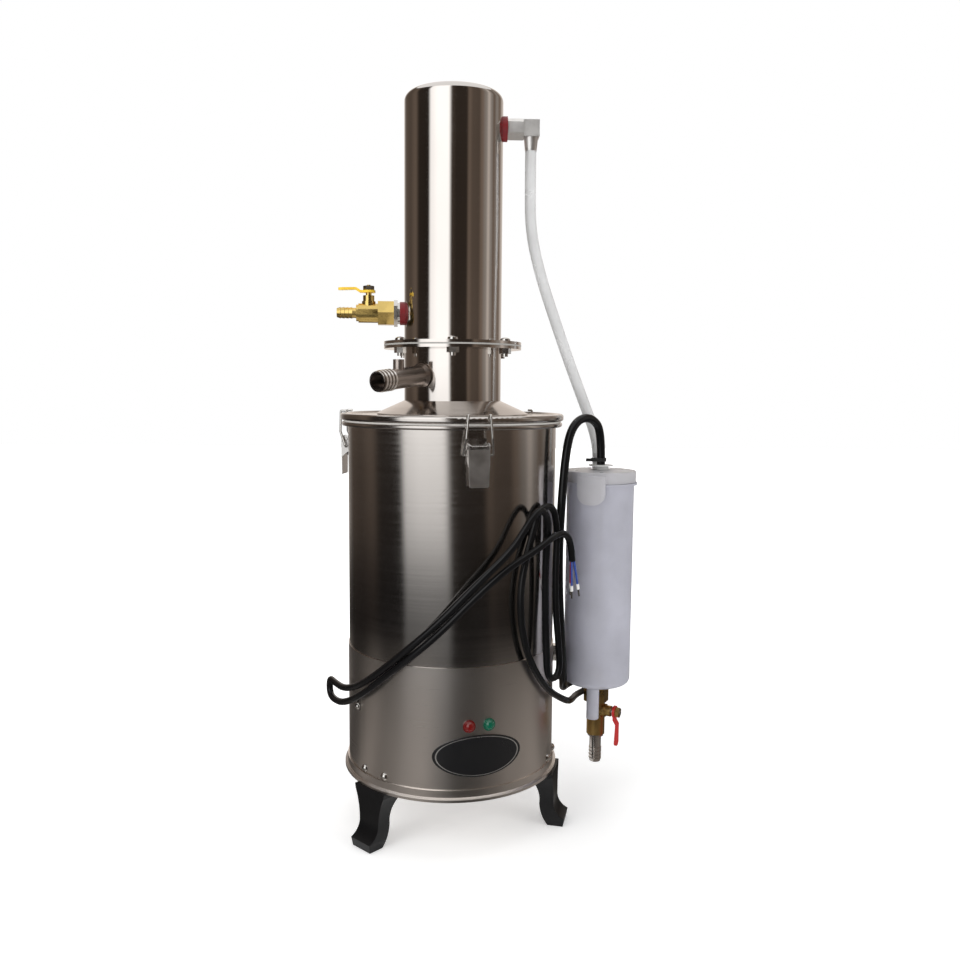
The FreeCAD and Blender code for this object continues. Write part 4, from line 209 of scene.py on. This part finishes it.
class Graph:
    """A material's node tree, with short calls for the nodes used below."""

    def __init__(self, name):
        self.material = bpy.data.materials.new(name)
        self.material.use_nodes = True
        self.tree = self.material.node_tree
        self.shader = self.tree.nodes["Principled BSDF"]
        self.place = self.tree.nodes.new("ShaderNodeTexCoord").outputs["Object"]

    def link(self, source, target):
        self.tree.links.new(source, target)

    def stretched(self, scale):
        mapping = self.tree.nodes.new("ShaderNodeMapping")
        mapping.inputs["Scale"].default_value = scale
        self.link(self.place, mapping.inputs["Vector"])
        return mapping.outputs["Vector"]

    def noise(self, scale, stretch=(1.0, 1.0, 1.0), detail=3.0, roughness=0.55):
        noise = self.tree.nodes.new("ShaderNodeTexNoise")
        noise.inputs["Scale"].default_value = scale
        noise.inputs["Detail"].default_value = detail
        noise.inputs["Roughness"].default_value = roughness
        self.link(self.stretched(stretch), noise.inputs["Vector"])
        return noise.outputs["Fac"]

    def ramp(self, factor, stops, blend="LINEAR"):
        ramp = self.tree.nodes.new("ShaderNodeValToRGB")
        elements = ramp.color_ramp.elements
        ramp.color_ramp.interpolation = blend
        while len(elements) < len(stops):
            elements.new(0.5)
        for element, (position, value) in zip(elements, stops):
            element.position = position
            colour = value if hasattr(value, "__len__") else (value, value, value)
            element.color = (*colour[:3], 1.0)
        self.link(factor, ramp.inputs["Fac"])
        return ramp.outputs["Color"]

    def spread(self, factor, low, high, start=SPREAD_START, end=SPREAD_END):
        return self.ramp(factor, [(start, low), (end, high)])

    def maths(self, operation, first, second=None):
        node = self.tree.nodes.new("ShaderNodeMath")
        node.operation = operation
        for socket, value in zip(node.inputs, (first, second)):
            if value is None:
                continue
            if hasattr(value, "is_linked"):
                self.link(value, socket)
            else:
                socket.default_value = value
        return node.outputs[0]

    def axes(self):
        split = self.tree.nodes.new("ShaderNodeSeparateXYZ")
        self.link(self.place, split.inputs[0])
        return split.outputs["X"], split.outputs["Y"], split.outputs["Z"]

    def squares(self, first, second):
        return self.maths("ADD", self.maths("POWER", first, 2.0), self.maths("POWER", second, 2.0))

    def emission(self, colour, strength):
        light = self.tree.nodes.new("ShaderNodeEmission")
        if hasattr(colour, "is_linked"):
            self.link(colour, light.inputs["Color"])
        else:
            light.inputs["Color"].default_value = (*colour, 1.0)
        self.link(strength, light.inputs["Strength"])
        return light.outputs[0]

    def show_sum(self, first, second):
        total = self.tree.nodes.new("ShaderNodeAddShader")
        self.link(first, total.inputs[0])
        self.link(second, total.inputs[1])
        self.link(total.outputs[0], self.tree.nodes["Material Output"].inputs["Surface"])

    def bump(self, height, strength, distance):
        node = self.tree.nodes.new("ShaderNodeBump")
        node.inputs["Strength"].default_value = strength
        node.inputs["Distance"].default_value = distance
        self.link(height, node.inputs["Height"])
        self.link(node.outputs["Normal"], self.shader.inputs["Normal"])

    def set(self, **values):
        for name, value in values.items():
            self.shader.inputs[name.replace("_", " ")].default_value = value

    def colour(self, source):
        self.link(source, self.shader.inputs["Base Color"])

    def rough(self, source):
        self.link(source, self.shader.inputs["Roughness"])


def shade(colour, factor):
    return tuple(min(1.0, part * factor) for part in colour)


def steel(name, colour, smooth, rough, grain=(3.0, 3.0, 420.0), depth=0.00004):
    """Sheet steel with fine lines round it and cloudy patches."""
    graph = Graph(name)
    lines = graph.noise(1.0, grain, detail=4.0, roughness=0.6)
    clouds = graph.noise(9.0, stretch=(1.0, 1.0, 0.5))
    graph.colour(graph.spread(clouds, shade(colour, 0.93), shade(colour, 1.05)))
    mixed = graph.maths("MULTIPLY", lines, clouds)
    graph.rough(graph.spread(mixed, smooth, rough, start=0.12, end=0.42))
    graph.bump(lines, strength=0.25, distance=depth)
    graph.set(Metallic=1.0)
    return graph.material


def machined(name, colour, smooth, rough, pitch=900.0, depth=0.00004):
    """Turned or pressed metal with a fine skin and slight tarnish."""
    graph = Graph(name)
    tarnish = graph.noise(60.0, detail=4.0)
    skin = graph.noise(1.0, (pitch, pitch, pitch), detail=2.0)
    graph.colour(graph.spread(tarnish, shade(colour, 0.8), colour, start=0.32, end=0.62))
    graph.rough(graph.spread(tarnish, smooth, rough))
    graph.bump(skin, strength=0.2, distance=depth)
    graph.set(Metallic=1.0)
    return graph.material


def moulded(name, colour, smooth, rough, pitch=700.0, depth=0.00006, **values):
    """Moulded plastic, rubber or paint with a fine skin texture."""
    graph = Graph(name)
    clouds = graph.noise(25.0)
    skin = graph.noise(pitch, detail=2.0)
    graph.colour(graph.spread(clouds, shade(colour, 0.9), shade(colour, 1.06)))
    graph.rough(graph.spread(clouds, smooth, rough))
    graph.bump(skin, strength=0.35, distance=depth)
    graph.set(**values)
    return graph.material


STEEL_COLOUR = (0.62, 0.585, 0.555)
drum_steel = steel("drum_steel", STEEL_COLOUR, 0.11, 0.21)
# Painted light: the skirt wears the drum's steel colour made 1.32 times brighter, a lit copy of the
# same steel
skirt_steel = steel(
    "skirt_steel",
    shade(STEEL_COLOUR, 1.32),
    0.27,
    0.32,
    grain=(1.5, 1.5, 1100.0),
    depth=0.000004,
)
column_steel = steel("column_steel", shade(STEEL_COLOUR, 1.08), 0.05, 0.13, depth=0.00001)
pipe_steel = steel("pipe_steel", (0.52, 0.46, 0.42), 0.26, 0.4)
inner_steel = steel("inner_steel", shade(STEEL_COLOUR, 0.9), 0.25, 0.4)
latch_steel = machined("latch_steel", (0.6, 0.58, 0.56), 0.16, 0.32)
lever_steel = machined("lever_steel", (0.8, 0.78, 0.76), 0.34, 0.46)
satin_silver = machined("satin_silver", (0.93, 0.92, 0.9), 0.36, 0.5)
dark_metal = machined("dark_metal", (0.2, 0.17, 0.14), 0.22, 0.38)
bright_metal = machined("bright_metal", (0.72, 0.7, 0.67), 0.1, 0.25)
nickel = machined("nickel", (0.6, 0.56, 0.52), 0.14, 0.3)
bright_brass = machined("bright_brass", (0.83, 0.6, 0.2), 0.12, 0.28)
dull_brass = machined("dull_brass", (0.55, 0.36, 0.13), 0.22, 0.42)
DEEP_BLACK = (0.005, 0.005, 0.0055)
leg_paint = moulded(
    "leg_paint", DEEP_BLACK, 0.32, 0.46, pitch=260.0, depth=0.0002, Specular_IOR_Level=0.22
)
cord_rubber = moulded("cord_rubber", DEEP_BLACK, 0.17, 0.26, Specular_IOR_Level=0.3)
black_plastic = moulded("black_plastic", (0.02, 0.02, 0.02), 0.35, 0.5)
pale_rubber = moulded("pale_rubber", (0.62, 0.6, 0.57), 0.45, 0.6)
grey_rubber = moulded("grey_rubber", (0.34, 0.33, 0.31), 0.45, 0.6)
red_rubber = moulded("red_rubber", (0.2, 0.008, 0.012), 0.35, 0.5)
red_dip = moulded("red_dip", (0.55, 0.02, 0.02), 0.25, 0.4)
yellow_dip = moulded("yellow_dip", (0.85, 0.55, 0.04), 0.28, 0.42)
white_plastic = moulded("white_plastic", (0.75, 0.75, 0.73), 0.35, 0.5)


def lens(name, colour):
    return moulded(name, colour, 0.06, 0.12, pitch=300.0, depth=0.00002, Coat_Weight=0.6)


def clear_sheet(name, colour, smooth, rough, clearness, bending):
    return moulded(
        name,
        colour,
        smooth,
        rough,
        pitch=90.0,
        depth=0.0001,
        Transmission_Weight=clearness,
        IOR=bending,
    )


red_lens = lens("red_lens", (0.12, 0.004, 0.004))
green_lens = lens("green_lens", (0.003, 0.09, 0.05))
cup_plastic = clear_sheet("cup_plastic", (0.6, 0.6, 0.66), 0.28, 0.4, clearness=0.5, bending=1.2)
lid_plastic = clear_sheet("lid_plastic", (0.74, 0.73, 0.75), 0.25, 0.35, clearness=0.6, bending=1.25)
hose_plastic = moulded(
    "hose_plastic", (0.72, 0.72, 0.72), 0.2, 0.3, Transmission_Weight=0.3, IOR=1.3
)
blue_sheath = moulded("blue_sheath", (0.02, 0.06, 0.3), 0.35, 0.5)
red_sheath = moulded("red_sheath", (0.4, 0.015, 0.02), 0.35, 0.5)


# Badge: a black plate with one bright line

BADGE_AZIMUTH = math.radians(14.5)
BADGE_LEVEL = 0.105
BADGE_HALF_WIDTH = 0.0455
BADGE_HALF_HEIGHT = 0.021
BADGE_BLACK = (0.008, 0.008, 0.009)
BADGE_LINE = (0.72, 0.71, 0.68)

# Square of the share of the way to the edge, where the line fades in, is full and fades out
LINE_START = 0.835
LINE_FULL = 0.85
LINE_FULL_END = 0.875
LINE_END = 0.89


def badge_material():
    graph = Graph("badge_face")
    x, y, z = graph.axes()
    along_x = graph.maths("MULTIPLY", x, math.cos(BADGE_AZIMUTH) / BADGE_HALF_WIDTH)
    along_y = graph.maths("MULTIPLY", y, math.sin(BADGE_AZIMUTH) / BADGE_HALF_WIDTH)
    across = graph.maths("ADD", along_x, along_y)
    raised = graph.maths("SUBTRACT", z, BADGE_LEVEL)
    upward = graph.maths("DIVIDE", raised, BADGE_HALF_HEIGHT)
    reach = graph.squares(across, upward)
    stops = [LINE_START, LINE_FULL, LINE_FULL_END, LINE_END]
    colours = [BADGE_BLACK, BADGE_LINE, BADGE_LINE, BADGE_BLACK]
    graph.colour(graph.ramp(reach, [(0.0, BADGE_BLACK), *zip(stops, colours)]))
    metal = graph.ramp(reach, list(zip(stops, (0.0, 1.0, 1.0, 0.0))))
    graph.link(metal, graph.shader.inputs["Metallic"])
    graph.rough(graph.spread(graph.noise(40.0), 0.25, 0.42))
    return graph.material


badge_face = badge_material()


# Spout: painted highlight and painted shade stripes on the ribs at its mouth

SPOUT_AZIMUTH = math.radians(-37.0)
SPOUT_RIBS_START = 0.1011
SPOUT_RIBS_PITCH = 0.0046
# Painted light: a bright painted highlight on each rib top and a dark painted shade between the ribs
RIB_PAINTED_HIGHLIGHT = (0.95, 0.91, 0.87)
RIB_PAINTED_SHADE = (0.16, 0.13, 0.11)

# Shares of the pitch where the painted highlight on a rib top ends and the painted shade between ribs
# starts and ends
PAINTED_HIGHLIGHT_END = 0.4
PAINTED_SHADE_START = 0.62
PAINTED_SHADE_END = 0.9


def painted_rib_light_pipe_material():
    graph = Graph("painted_rib_light_pipe")
    x, y, _ = graph.axes()
    along_x = graph.maths("MULTIPLY", x, math.sin(SPOUT_AZIMUTH))
    along_y = graph.maths("MULTIPLY", y, -math.cos(SPOUT_AZIMUTH))
    reach = graph.maths("SUBTRACT", graph.maths("ADD", along_x, along_y), SPOUT_RIBS_START)
    share = graph.maths("FRACT", graph.maths("DIVIDE", reach, SPOUT_RIBS_PITCH))
    highlight_stops = [(0.0, RIB_PAINTED_HIGHLIGHT), (PAINTED_HIGHLIGHT_END, RIB_PAINTED_HIGHLIGHT)]
    shade_stops = [(PAINTED_SHADE_START, RIB_PAINTED_SHADE), (PAINTED_SHADE_END, RIB_PAINTED_SHADE)]
    # Painted light: bright highlight stripes and dark shade stripes along the spout's mouth
    graph.colour(graph.ramp(share, highlight_stops + shade_stops))
    graph.rough(graph.spread(graph.noise(60.0), 0.24, 0.36))
    graph.set(Metallic=1.0)
    return graph.material


painted_rib_light_pipe = painted_rib_light_pipe_material()


# Which material each solid wears

NODE_MATERIALS = {
    "boiler_pot": drum_steel,
    "boiler_lid": drum_steel,
    "base_skirt": skirt_steel,
    "base_hoop": skirt_steel,
    "base_cover": skirt_steel,
    "neck_tube": column_steel,
    "condenser_flange": column_steel,
    "condenser_shell": column_steel,
    "distillate_pipe": pipe_steel,
    "steam_tube_stack": inner_steel,
    "collecting_gutter": inner_steel,
    "heater_element": inner_steel,
    "probe_stem": inner_steel,
    "feed_nipple": inner_steel,
    "lid_seal": pale_rubber,
    "flange_gasket": grey_rubber,
    "leg_screws": bright_metal,
    "flange_bolts": bright_metal,
    "flange_nuts": bright_metal,
    "feed_nuts": bright_metal,
    "cord_clip": bright_metal,
    "inlet_gasket": red_rubber,
    "outlet_gasket": red_rubber,
    "drain_gasket": red_rubber,
    "inlet_collar": bright_metal,
    "inlet_valve_body": bright_brass,
    "inlet_hose_barb": bright_brass,
    "inlet_ball_stem": bright_brass,
    "inlet_lever": yellow_dip,
    "inlet_lever_nut": dark_metal,
    "outlet_nipple": satin_silver,
    "outlet_elbow": satin_silver,
    "drain_valve_body": dull_brass,
    "drain_ball_stem": nickel,
    "drain_lever": red_dip,
    "drain_lever_nut": dull_brass,
    "drain_hose_barb": nickel,
    "cup_body": cup_plastic,
    "cup_lid": lid_plastic,
    "probe_gland": white_plastic,
    "level_float": white_plastic,
    "cord_glands": black_plastic,
    "cord_tie": black_plastic,
    "red_lamp": red_lens,
    "green_lamp": green_lens,
    "badge_plate": badge_face,
    "latch_brackets": latch_steel,
    "mains_wire_ends": blue_sheath,
}
for place in ("front", "rear", "left"):
    NODE_MATERIALS[f"latch_lever_{place}"] = lever_steel
    NODE_MATERIALS[f"latch_bail_{place}"] = bright_metal
for place in ("front", "right", "rear"):
    NODE_MATERIALS[f"leg_{place}"] = leg_paint


def dress(item, *materials):
    item.data.materials.clear()
    for material in materials:
        item.data.materials.append(material)


for name, material in NODE_MATERIALS.items():
    dress(nodes[name], material)
dress(mains_cord, cord_rubber)
dress(probe_cable, cord_rubber)
dress(hose, hose_plastic)


# Legs: the cast solids with rounded edges

LEG_EDGE_RADIUS = 0.0016
LEG_EDGE_STEPS = 3
LEG_ROUNDED_ANGLE = math.radians(35.0)
LEG_SHARP_ANGLE = math.radians(40.0)
SAME_POINT = 0.00001
SAME_PLANE = math.radians(1.0)


def soften_leg(node_name):
    mesh = nodes[node_name].data.copy()
    shape = bmesh.new()
    shape.from_mesh(mesh)
    bmesh.ops.remove_doubles(shape, verts=shape.verts, dist=SAME_POINT)
    bmesh.ops.dissolve_limit(shape, angle_limit=SAME_PLANE, verts=shape.verts, edges=shape.edges)
    shape.to_mesh(mesh)
    shape.free()
    leg = bpy.data.objects.new(f"cast_{node_name}", mesh)
    bpy.context.scene.collection.objects.link(leg)
    edge = leg.modifiers.new("edges", "BEVEL")
    edge.width = LEG_EDGE_RADIUS
    edge.segments = LEG_EDGE_STEPS
    edge.limit_method = "ANGLE"
    edge.angle_limit = LEG_ROUNDED_ANGLE
    mesh.shade_smooth()
    mesh.set_sharp_from_angle(angle=LEG_SHARP_ANGLE)
    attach(leg, "stand")
    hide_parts(node_name)
    dress(leg, leg_paint)


for place in ("front", "right", "rear"):
    soften_leg(f"leg_{place}")


# Wire ends: blue and red sheaths, white collars and bright ferrules

SHEATH_END = Vector(MAINS_CORD_ROUTE[-1])
CORD_END_WAY = (SHEATH_END - Vector(MAINS_CORD_ROUTE[-2])).normalized()
SHEATH_LENGTH = 0.026
COLLAR_START = SHEATH_LENGTH - 0.0012
FERRULE_START = SHEATH_LENGTH + 0.005
RED_SIDE_START = 0.0009
WIRE_MATERIALS = (blue_sheath, red_sheath, white_plastic, nickel)
RED_SHEATH, COLLAR, FERRULE = 1, 2, 3


def paint_wire_ends():
    mesh = nodes["mains_wire_ends"].data
    dress(nodes["mains_wire_ends"], *WIRE_MATERIALS)
    side = Vector((0.0, 0.0, 1.0)).cross(CORD_END_WAY).normalized()
    for face in mesh.polygons:
        centre = face.center - SHEATH_END
        along = centre.dot(CORD_END_WAY)
        if along > FERRULE_START:
            face.material_index = FERRULE
        elif along > COLLAR_START:
            face.material_index = COLLAR
        elif centre.dot(side) > RED_SIDE_START:
            face.material_index = RED_SHEATH


paint_wire_ends()


# The spout's faces near its mouth get the steel with painted rib highlights and painted shade


def paint_spout():
    pipe = nodes["distillate_pipe"]
    dress(pipe, pipe_steel, painted_rib_light_pipe)
    for face in pipe.data.polygons:
        if math.hypot(face.center.x, face.center.y) > SPOUT_RIBS_START:
            face.material_index = 1


paint_spout()


# Stage: floor, studio wall seen only in reflections, and lamps

FLOOR_REACH = 6.0
FLOOR_DARK = (0.93, 0.93, 0.93)
FLOOR_LIGHT = (0.95, 0.95, 0.95)

# Share of the floor's reach, with the strength of its own light
FLOOR_GLOW = [(0.03, 0.32), (0.16, 1.0)]

WALL_FOOT = 0.003
STUDIO_RADIUS = 2.2
STUDIO_INNER_RADIUS = 0.135
STUDIO_HEIGHT = 2.8
STUDIO_STEPS = 96

# Azimuth in degrees from the front, positive to the right, with a brightness
STUDIO_BANDS = [
    (-180, 0.95),
    (-166, 0.85),
    (-152, 0.3),
    (-140, 0.12),
    (-118, 0.1),
    (-98, 0.15),
    (-84, 0.03),
    (-60, 0.025),
    (-52, 1.4),
    (-34, 1.6),
    (-12, 1.6),
    (-3, 0.06),
    (7, 0.035),
    (29, 0.035),
    (36, 0.17),
    (45, 0.11),
    (60, 0.1),
    (68, 0.2),
    (80, 0.3),
    (88, 0.6),
    (97, 0.3),
    (106, 0.17),
    (118, 0.3),
    (132, 0.2),
    (150, 0.6),
    (180, 0.95),
]

# Way out along the floor and then up the wall, in metres, with a share of that brightness
STUDIO_RISE = [
    (0.1, 0.02),
    (0.54, 0.04),
    (0.75, 0.06),
    (0.92, 0.08),
    (1.25, 0.14),
    (1.59, 0.26),
    (2.2, 0.5),
    (2.4, 0.62),
    (2.75, 1.0),
]
STUDIO_RISE_END = 5.0
WARM_DARK = (1.0, 0.76, 0.6)
WARM_LIGHT = (1.0, 0.9, 0.82)
WARM_LIMIT = 0.25
SOFTBOX_AZIMUTHS = (-56, -10)
STUDIO_SKEW = 8.0

# The same, for the pale paper close to the object
PAPER_BANDS = [
    (-180, 0.25),
    (-150, 0.2),
    (-125, 0.04),
    (-110, 0.06),
    (-84, 0.23),
    (-68, 0.13),
    (-57, 0.16),
    (-25, 0.25),
    (-10, 0.1),
    (0, 0.03),
    (20, 0.04),
    (35, 0.1),
    (54, 0.2),
    (88, 0.25),
    (100, 0.14),
    (115, 0.04),
    (135, 0.2),
    (180, 0.25),
]
PAPER_RISE = [
    (0.1, 1.0),
    (0.5, 0.8),
    (0.9, 0.0),
]


def stage_object(name, mesh):
    item = bpy.data.objects.new(name, mesh)
    bpy.context.scene.collection.objects.link(item)
    return item


def make_floor():
    mesh = bpy.data.meshes.new("floor")
    corners = [(-1, -1), (1, -1), (1, 1), (-1, 1)]
    mesh.from_pydata([(x * FLOOR_REACH, y * FLOOR_REACH, 0.0) for x, y in corners], [], [(0, 1, 2, 3)])
    floor = stage_object("floor", mesh)
    graph = Graph("floor_paper")
    grain = graph.noise(4.0, detail=2.0)
    graph.colour(graph.spread(grain, FLOOR_DARK, FLOOR_LIGHT))
    graph.set(Roughness=0.9, Specular_IOR_Level=0.1)
    x, y, _ = graph.axes()
    reach = graph.maths("DIVIDE", graph.maths("SQRT", graph.squares(x, y)), FLOOR_REACH)
    glow = graph.ramp(reach, FLOOR_GLOW, "EASE")
    graph.show_sum(graph.shader.outputs[0], graph.emission(WHITE, glow))
    dress(floor, graph.material)


def band_position(azimuth):
    return (azimuth + 180.0) / 360.0


def band_stops(bands, tint_of):
    stops = []
    for azimuth, level in bands:
        tint = tint_of(azimuth, level)
        stops.append((band_position(azimuth), tuple(part * level for part in tint)))
    return stops


def rise_stops(rise):
    return [(place / STUDIO_RISE_END, level) for place, level in rise]


def studio_tint(azimuth, level):
    if SOFTBOX_AZIMUTHS[0] < azimuth < SOFTBOX_AZIMUTHS[1]:
        return WHITE
    return WARM_DARK if level < WARM_LIMIT else WARM_LIGHT


def paper_tint(azimuth, level):
    return WARM_LIGHT


def studio_material():
    graph = Graph("studio_bands")
    x, y, z = graph.axes()
    angle = graph.maths("ARCTAN2", x, graph.maths("MULTIPLY", y, -1.0))
    turn = graph.maths("ADD", graph.maths("DIVIDE", angle, 2 * math.pi), 0.5)
    way = graph.maths("ADD", graph.maths("SQRT", graph.squares(x, y)), z)
    share = graph.maths("DIVIDE", way, STUDIO_RISE_END)
    rise = graph.ramp(share, rise_stops(STUDIO_RISE))
    skew = graph.maths("MULTIPLY", graph.maths("SUBTRACT", rise, 1.0), STUDIO_SKEW / 360.0)
    skewed_turn = graph.maths("ADD", turn, skew)
    bands = graph.ramp(skewed_turn, band_stops(STUDIO_BANDS, studio_tint), "EASE")
    paper = graph.ramp(turn, band_stops(PAPER_BANDS, paper_tint), "EASE")
    near = graph.ramp(share, rise_stops(PAPER_RISE))
    graph.show_sum(graph.emission(bands, rise), graph.emission(paper, near))
    return graph.material


def make_studio_wall():
    """A wall and a dark floor ring that only reflections see, with bright and dark bands."""
    vertices = []
    faces = []
    rings = [
        (STUDIO_INNER_RADIUS, WALL_FOOT),
        (STUDIO_RADIUS, WALL_FOOT),
        (STUDIO_RADIUS, STUDIO_HEIGHT),
    ]
    for radius, height in rings:
        for step in range(STUDIO_STEPS):
            angle = 2 * math.pi * step / STUDIO_STEPS
            vertices.append((radius * math.sin(angle), -radius * math.cos(angle), height))
    for ring in range(len(rings) - 1):
        for step in range(STUDIO_STEPS):
            following = (step + 1) % STUDIO_STEPS
            low = ring * STUDIO_STEPS
            high = low + STUDIO_STEPS
            faces.append((low + step, low + following, high + following, high + step))
    mesh = bpy.data.meshes.new("studio_wall")
    mesh.from_pydata(vertices, [], faces)
    wall = stage_object("studio_wall", mesh)
    wall.visible_camera = False
    wall.visible_diffuse = False
    wall.visible_transmission = False
    wall.visible_volume_scatter = False
    wall.visible_shadow = False
    dress(wall, studio_material())


# The world: white where it is seen or reflected, and dimmer as a light
WORLD_LIGHT = 0.55
WORLD_SEEN = 1.0


def make_world():
    world = bpy.data.worlds.new("studio_world")
    bpy.context.scene.world = world
    world.use_nodes = True
    tree = world.node_tree
    background = tree.nodes["Background"]
    path = tree.nodes.new("ShaderNodeLightPath")
    seen = None
    for ray in ("Is Camera Ray", "Is Glossy Ray", "Is Transmission Ray"):
        if seen is None:
            seen = path.outputs[ray]
            continue
        either = tree.nodes.new("ShaderNodeMath")
        either.operation = "MAXIMUM"
        tree.links.new(seen, either.inputs[0])
        tree.links.new(path.outputs[ray], either.inputs[1])
        seen = either.outputs[0]
    level = tree.nodes.new("ShaderNodeMapRange")
    tree.links.new(seen, level.inputs["Value"])
    level.inputs["To Min"].default_value = WORLD_LIGHT
    level.inputs["To Max"].default_value = WORLD_SEEN
    background.inputs["Color"].default_value = (*WHITE, 1.0)
    tree.links.new(level.outputs["Result"], background.inputs["Strength"])


def make_lamp(name, place, aim, size, watts):
    data = bpy.data.lights.new(name, "AREA")
    data.shape = "RECTANGLE"
    data.size = size[0]
    data.size_y = size[1]
    data.energy = watts
    lamp = bpy.data.objects.new(name, data)
    bpy.context.scene.collection.objects.link(lamp)
    way = Vector(aim) - Vector(place)
    lamp.matrix_world = Matrix.Translation(place) @ way.to_track_quat("-Z", "Y").to_matrix().to_4x4()
    lamp.visible_glossy = False
    lamp.visible_camera = False


make_floor()
make_studio_wall()
make_world()
make_lamp("left_softbox", (-1.3, -1.2, 1.3), aim=(0.0, 0.0, 0.35), size=(0.9, 1.4), watts=14.0)
make_lamp("right_fill", (1.6, -0.8, 0.9), aim=(0.0, 0.0, 0.3), size=(0.8, 1.2), watts=5.0)
make_lamp("top_softbox", (0.0, 0.2, 2.2), aim=(0.0, 0.0, 0.3), size=(1.4, 1.4), watts=10.0)

bpy.context.scene.view_settings.view_transform = "Standard"
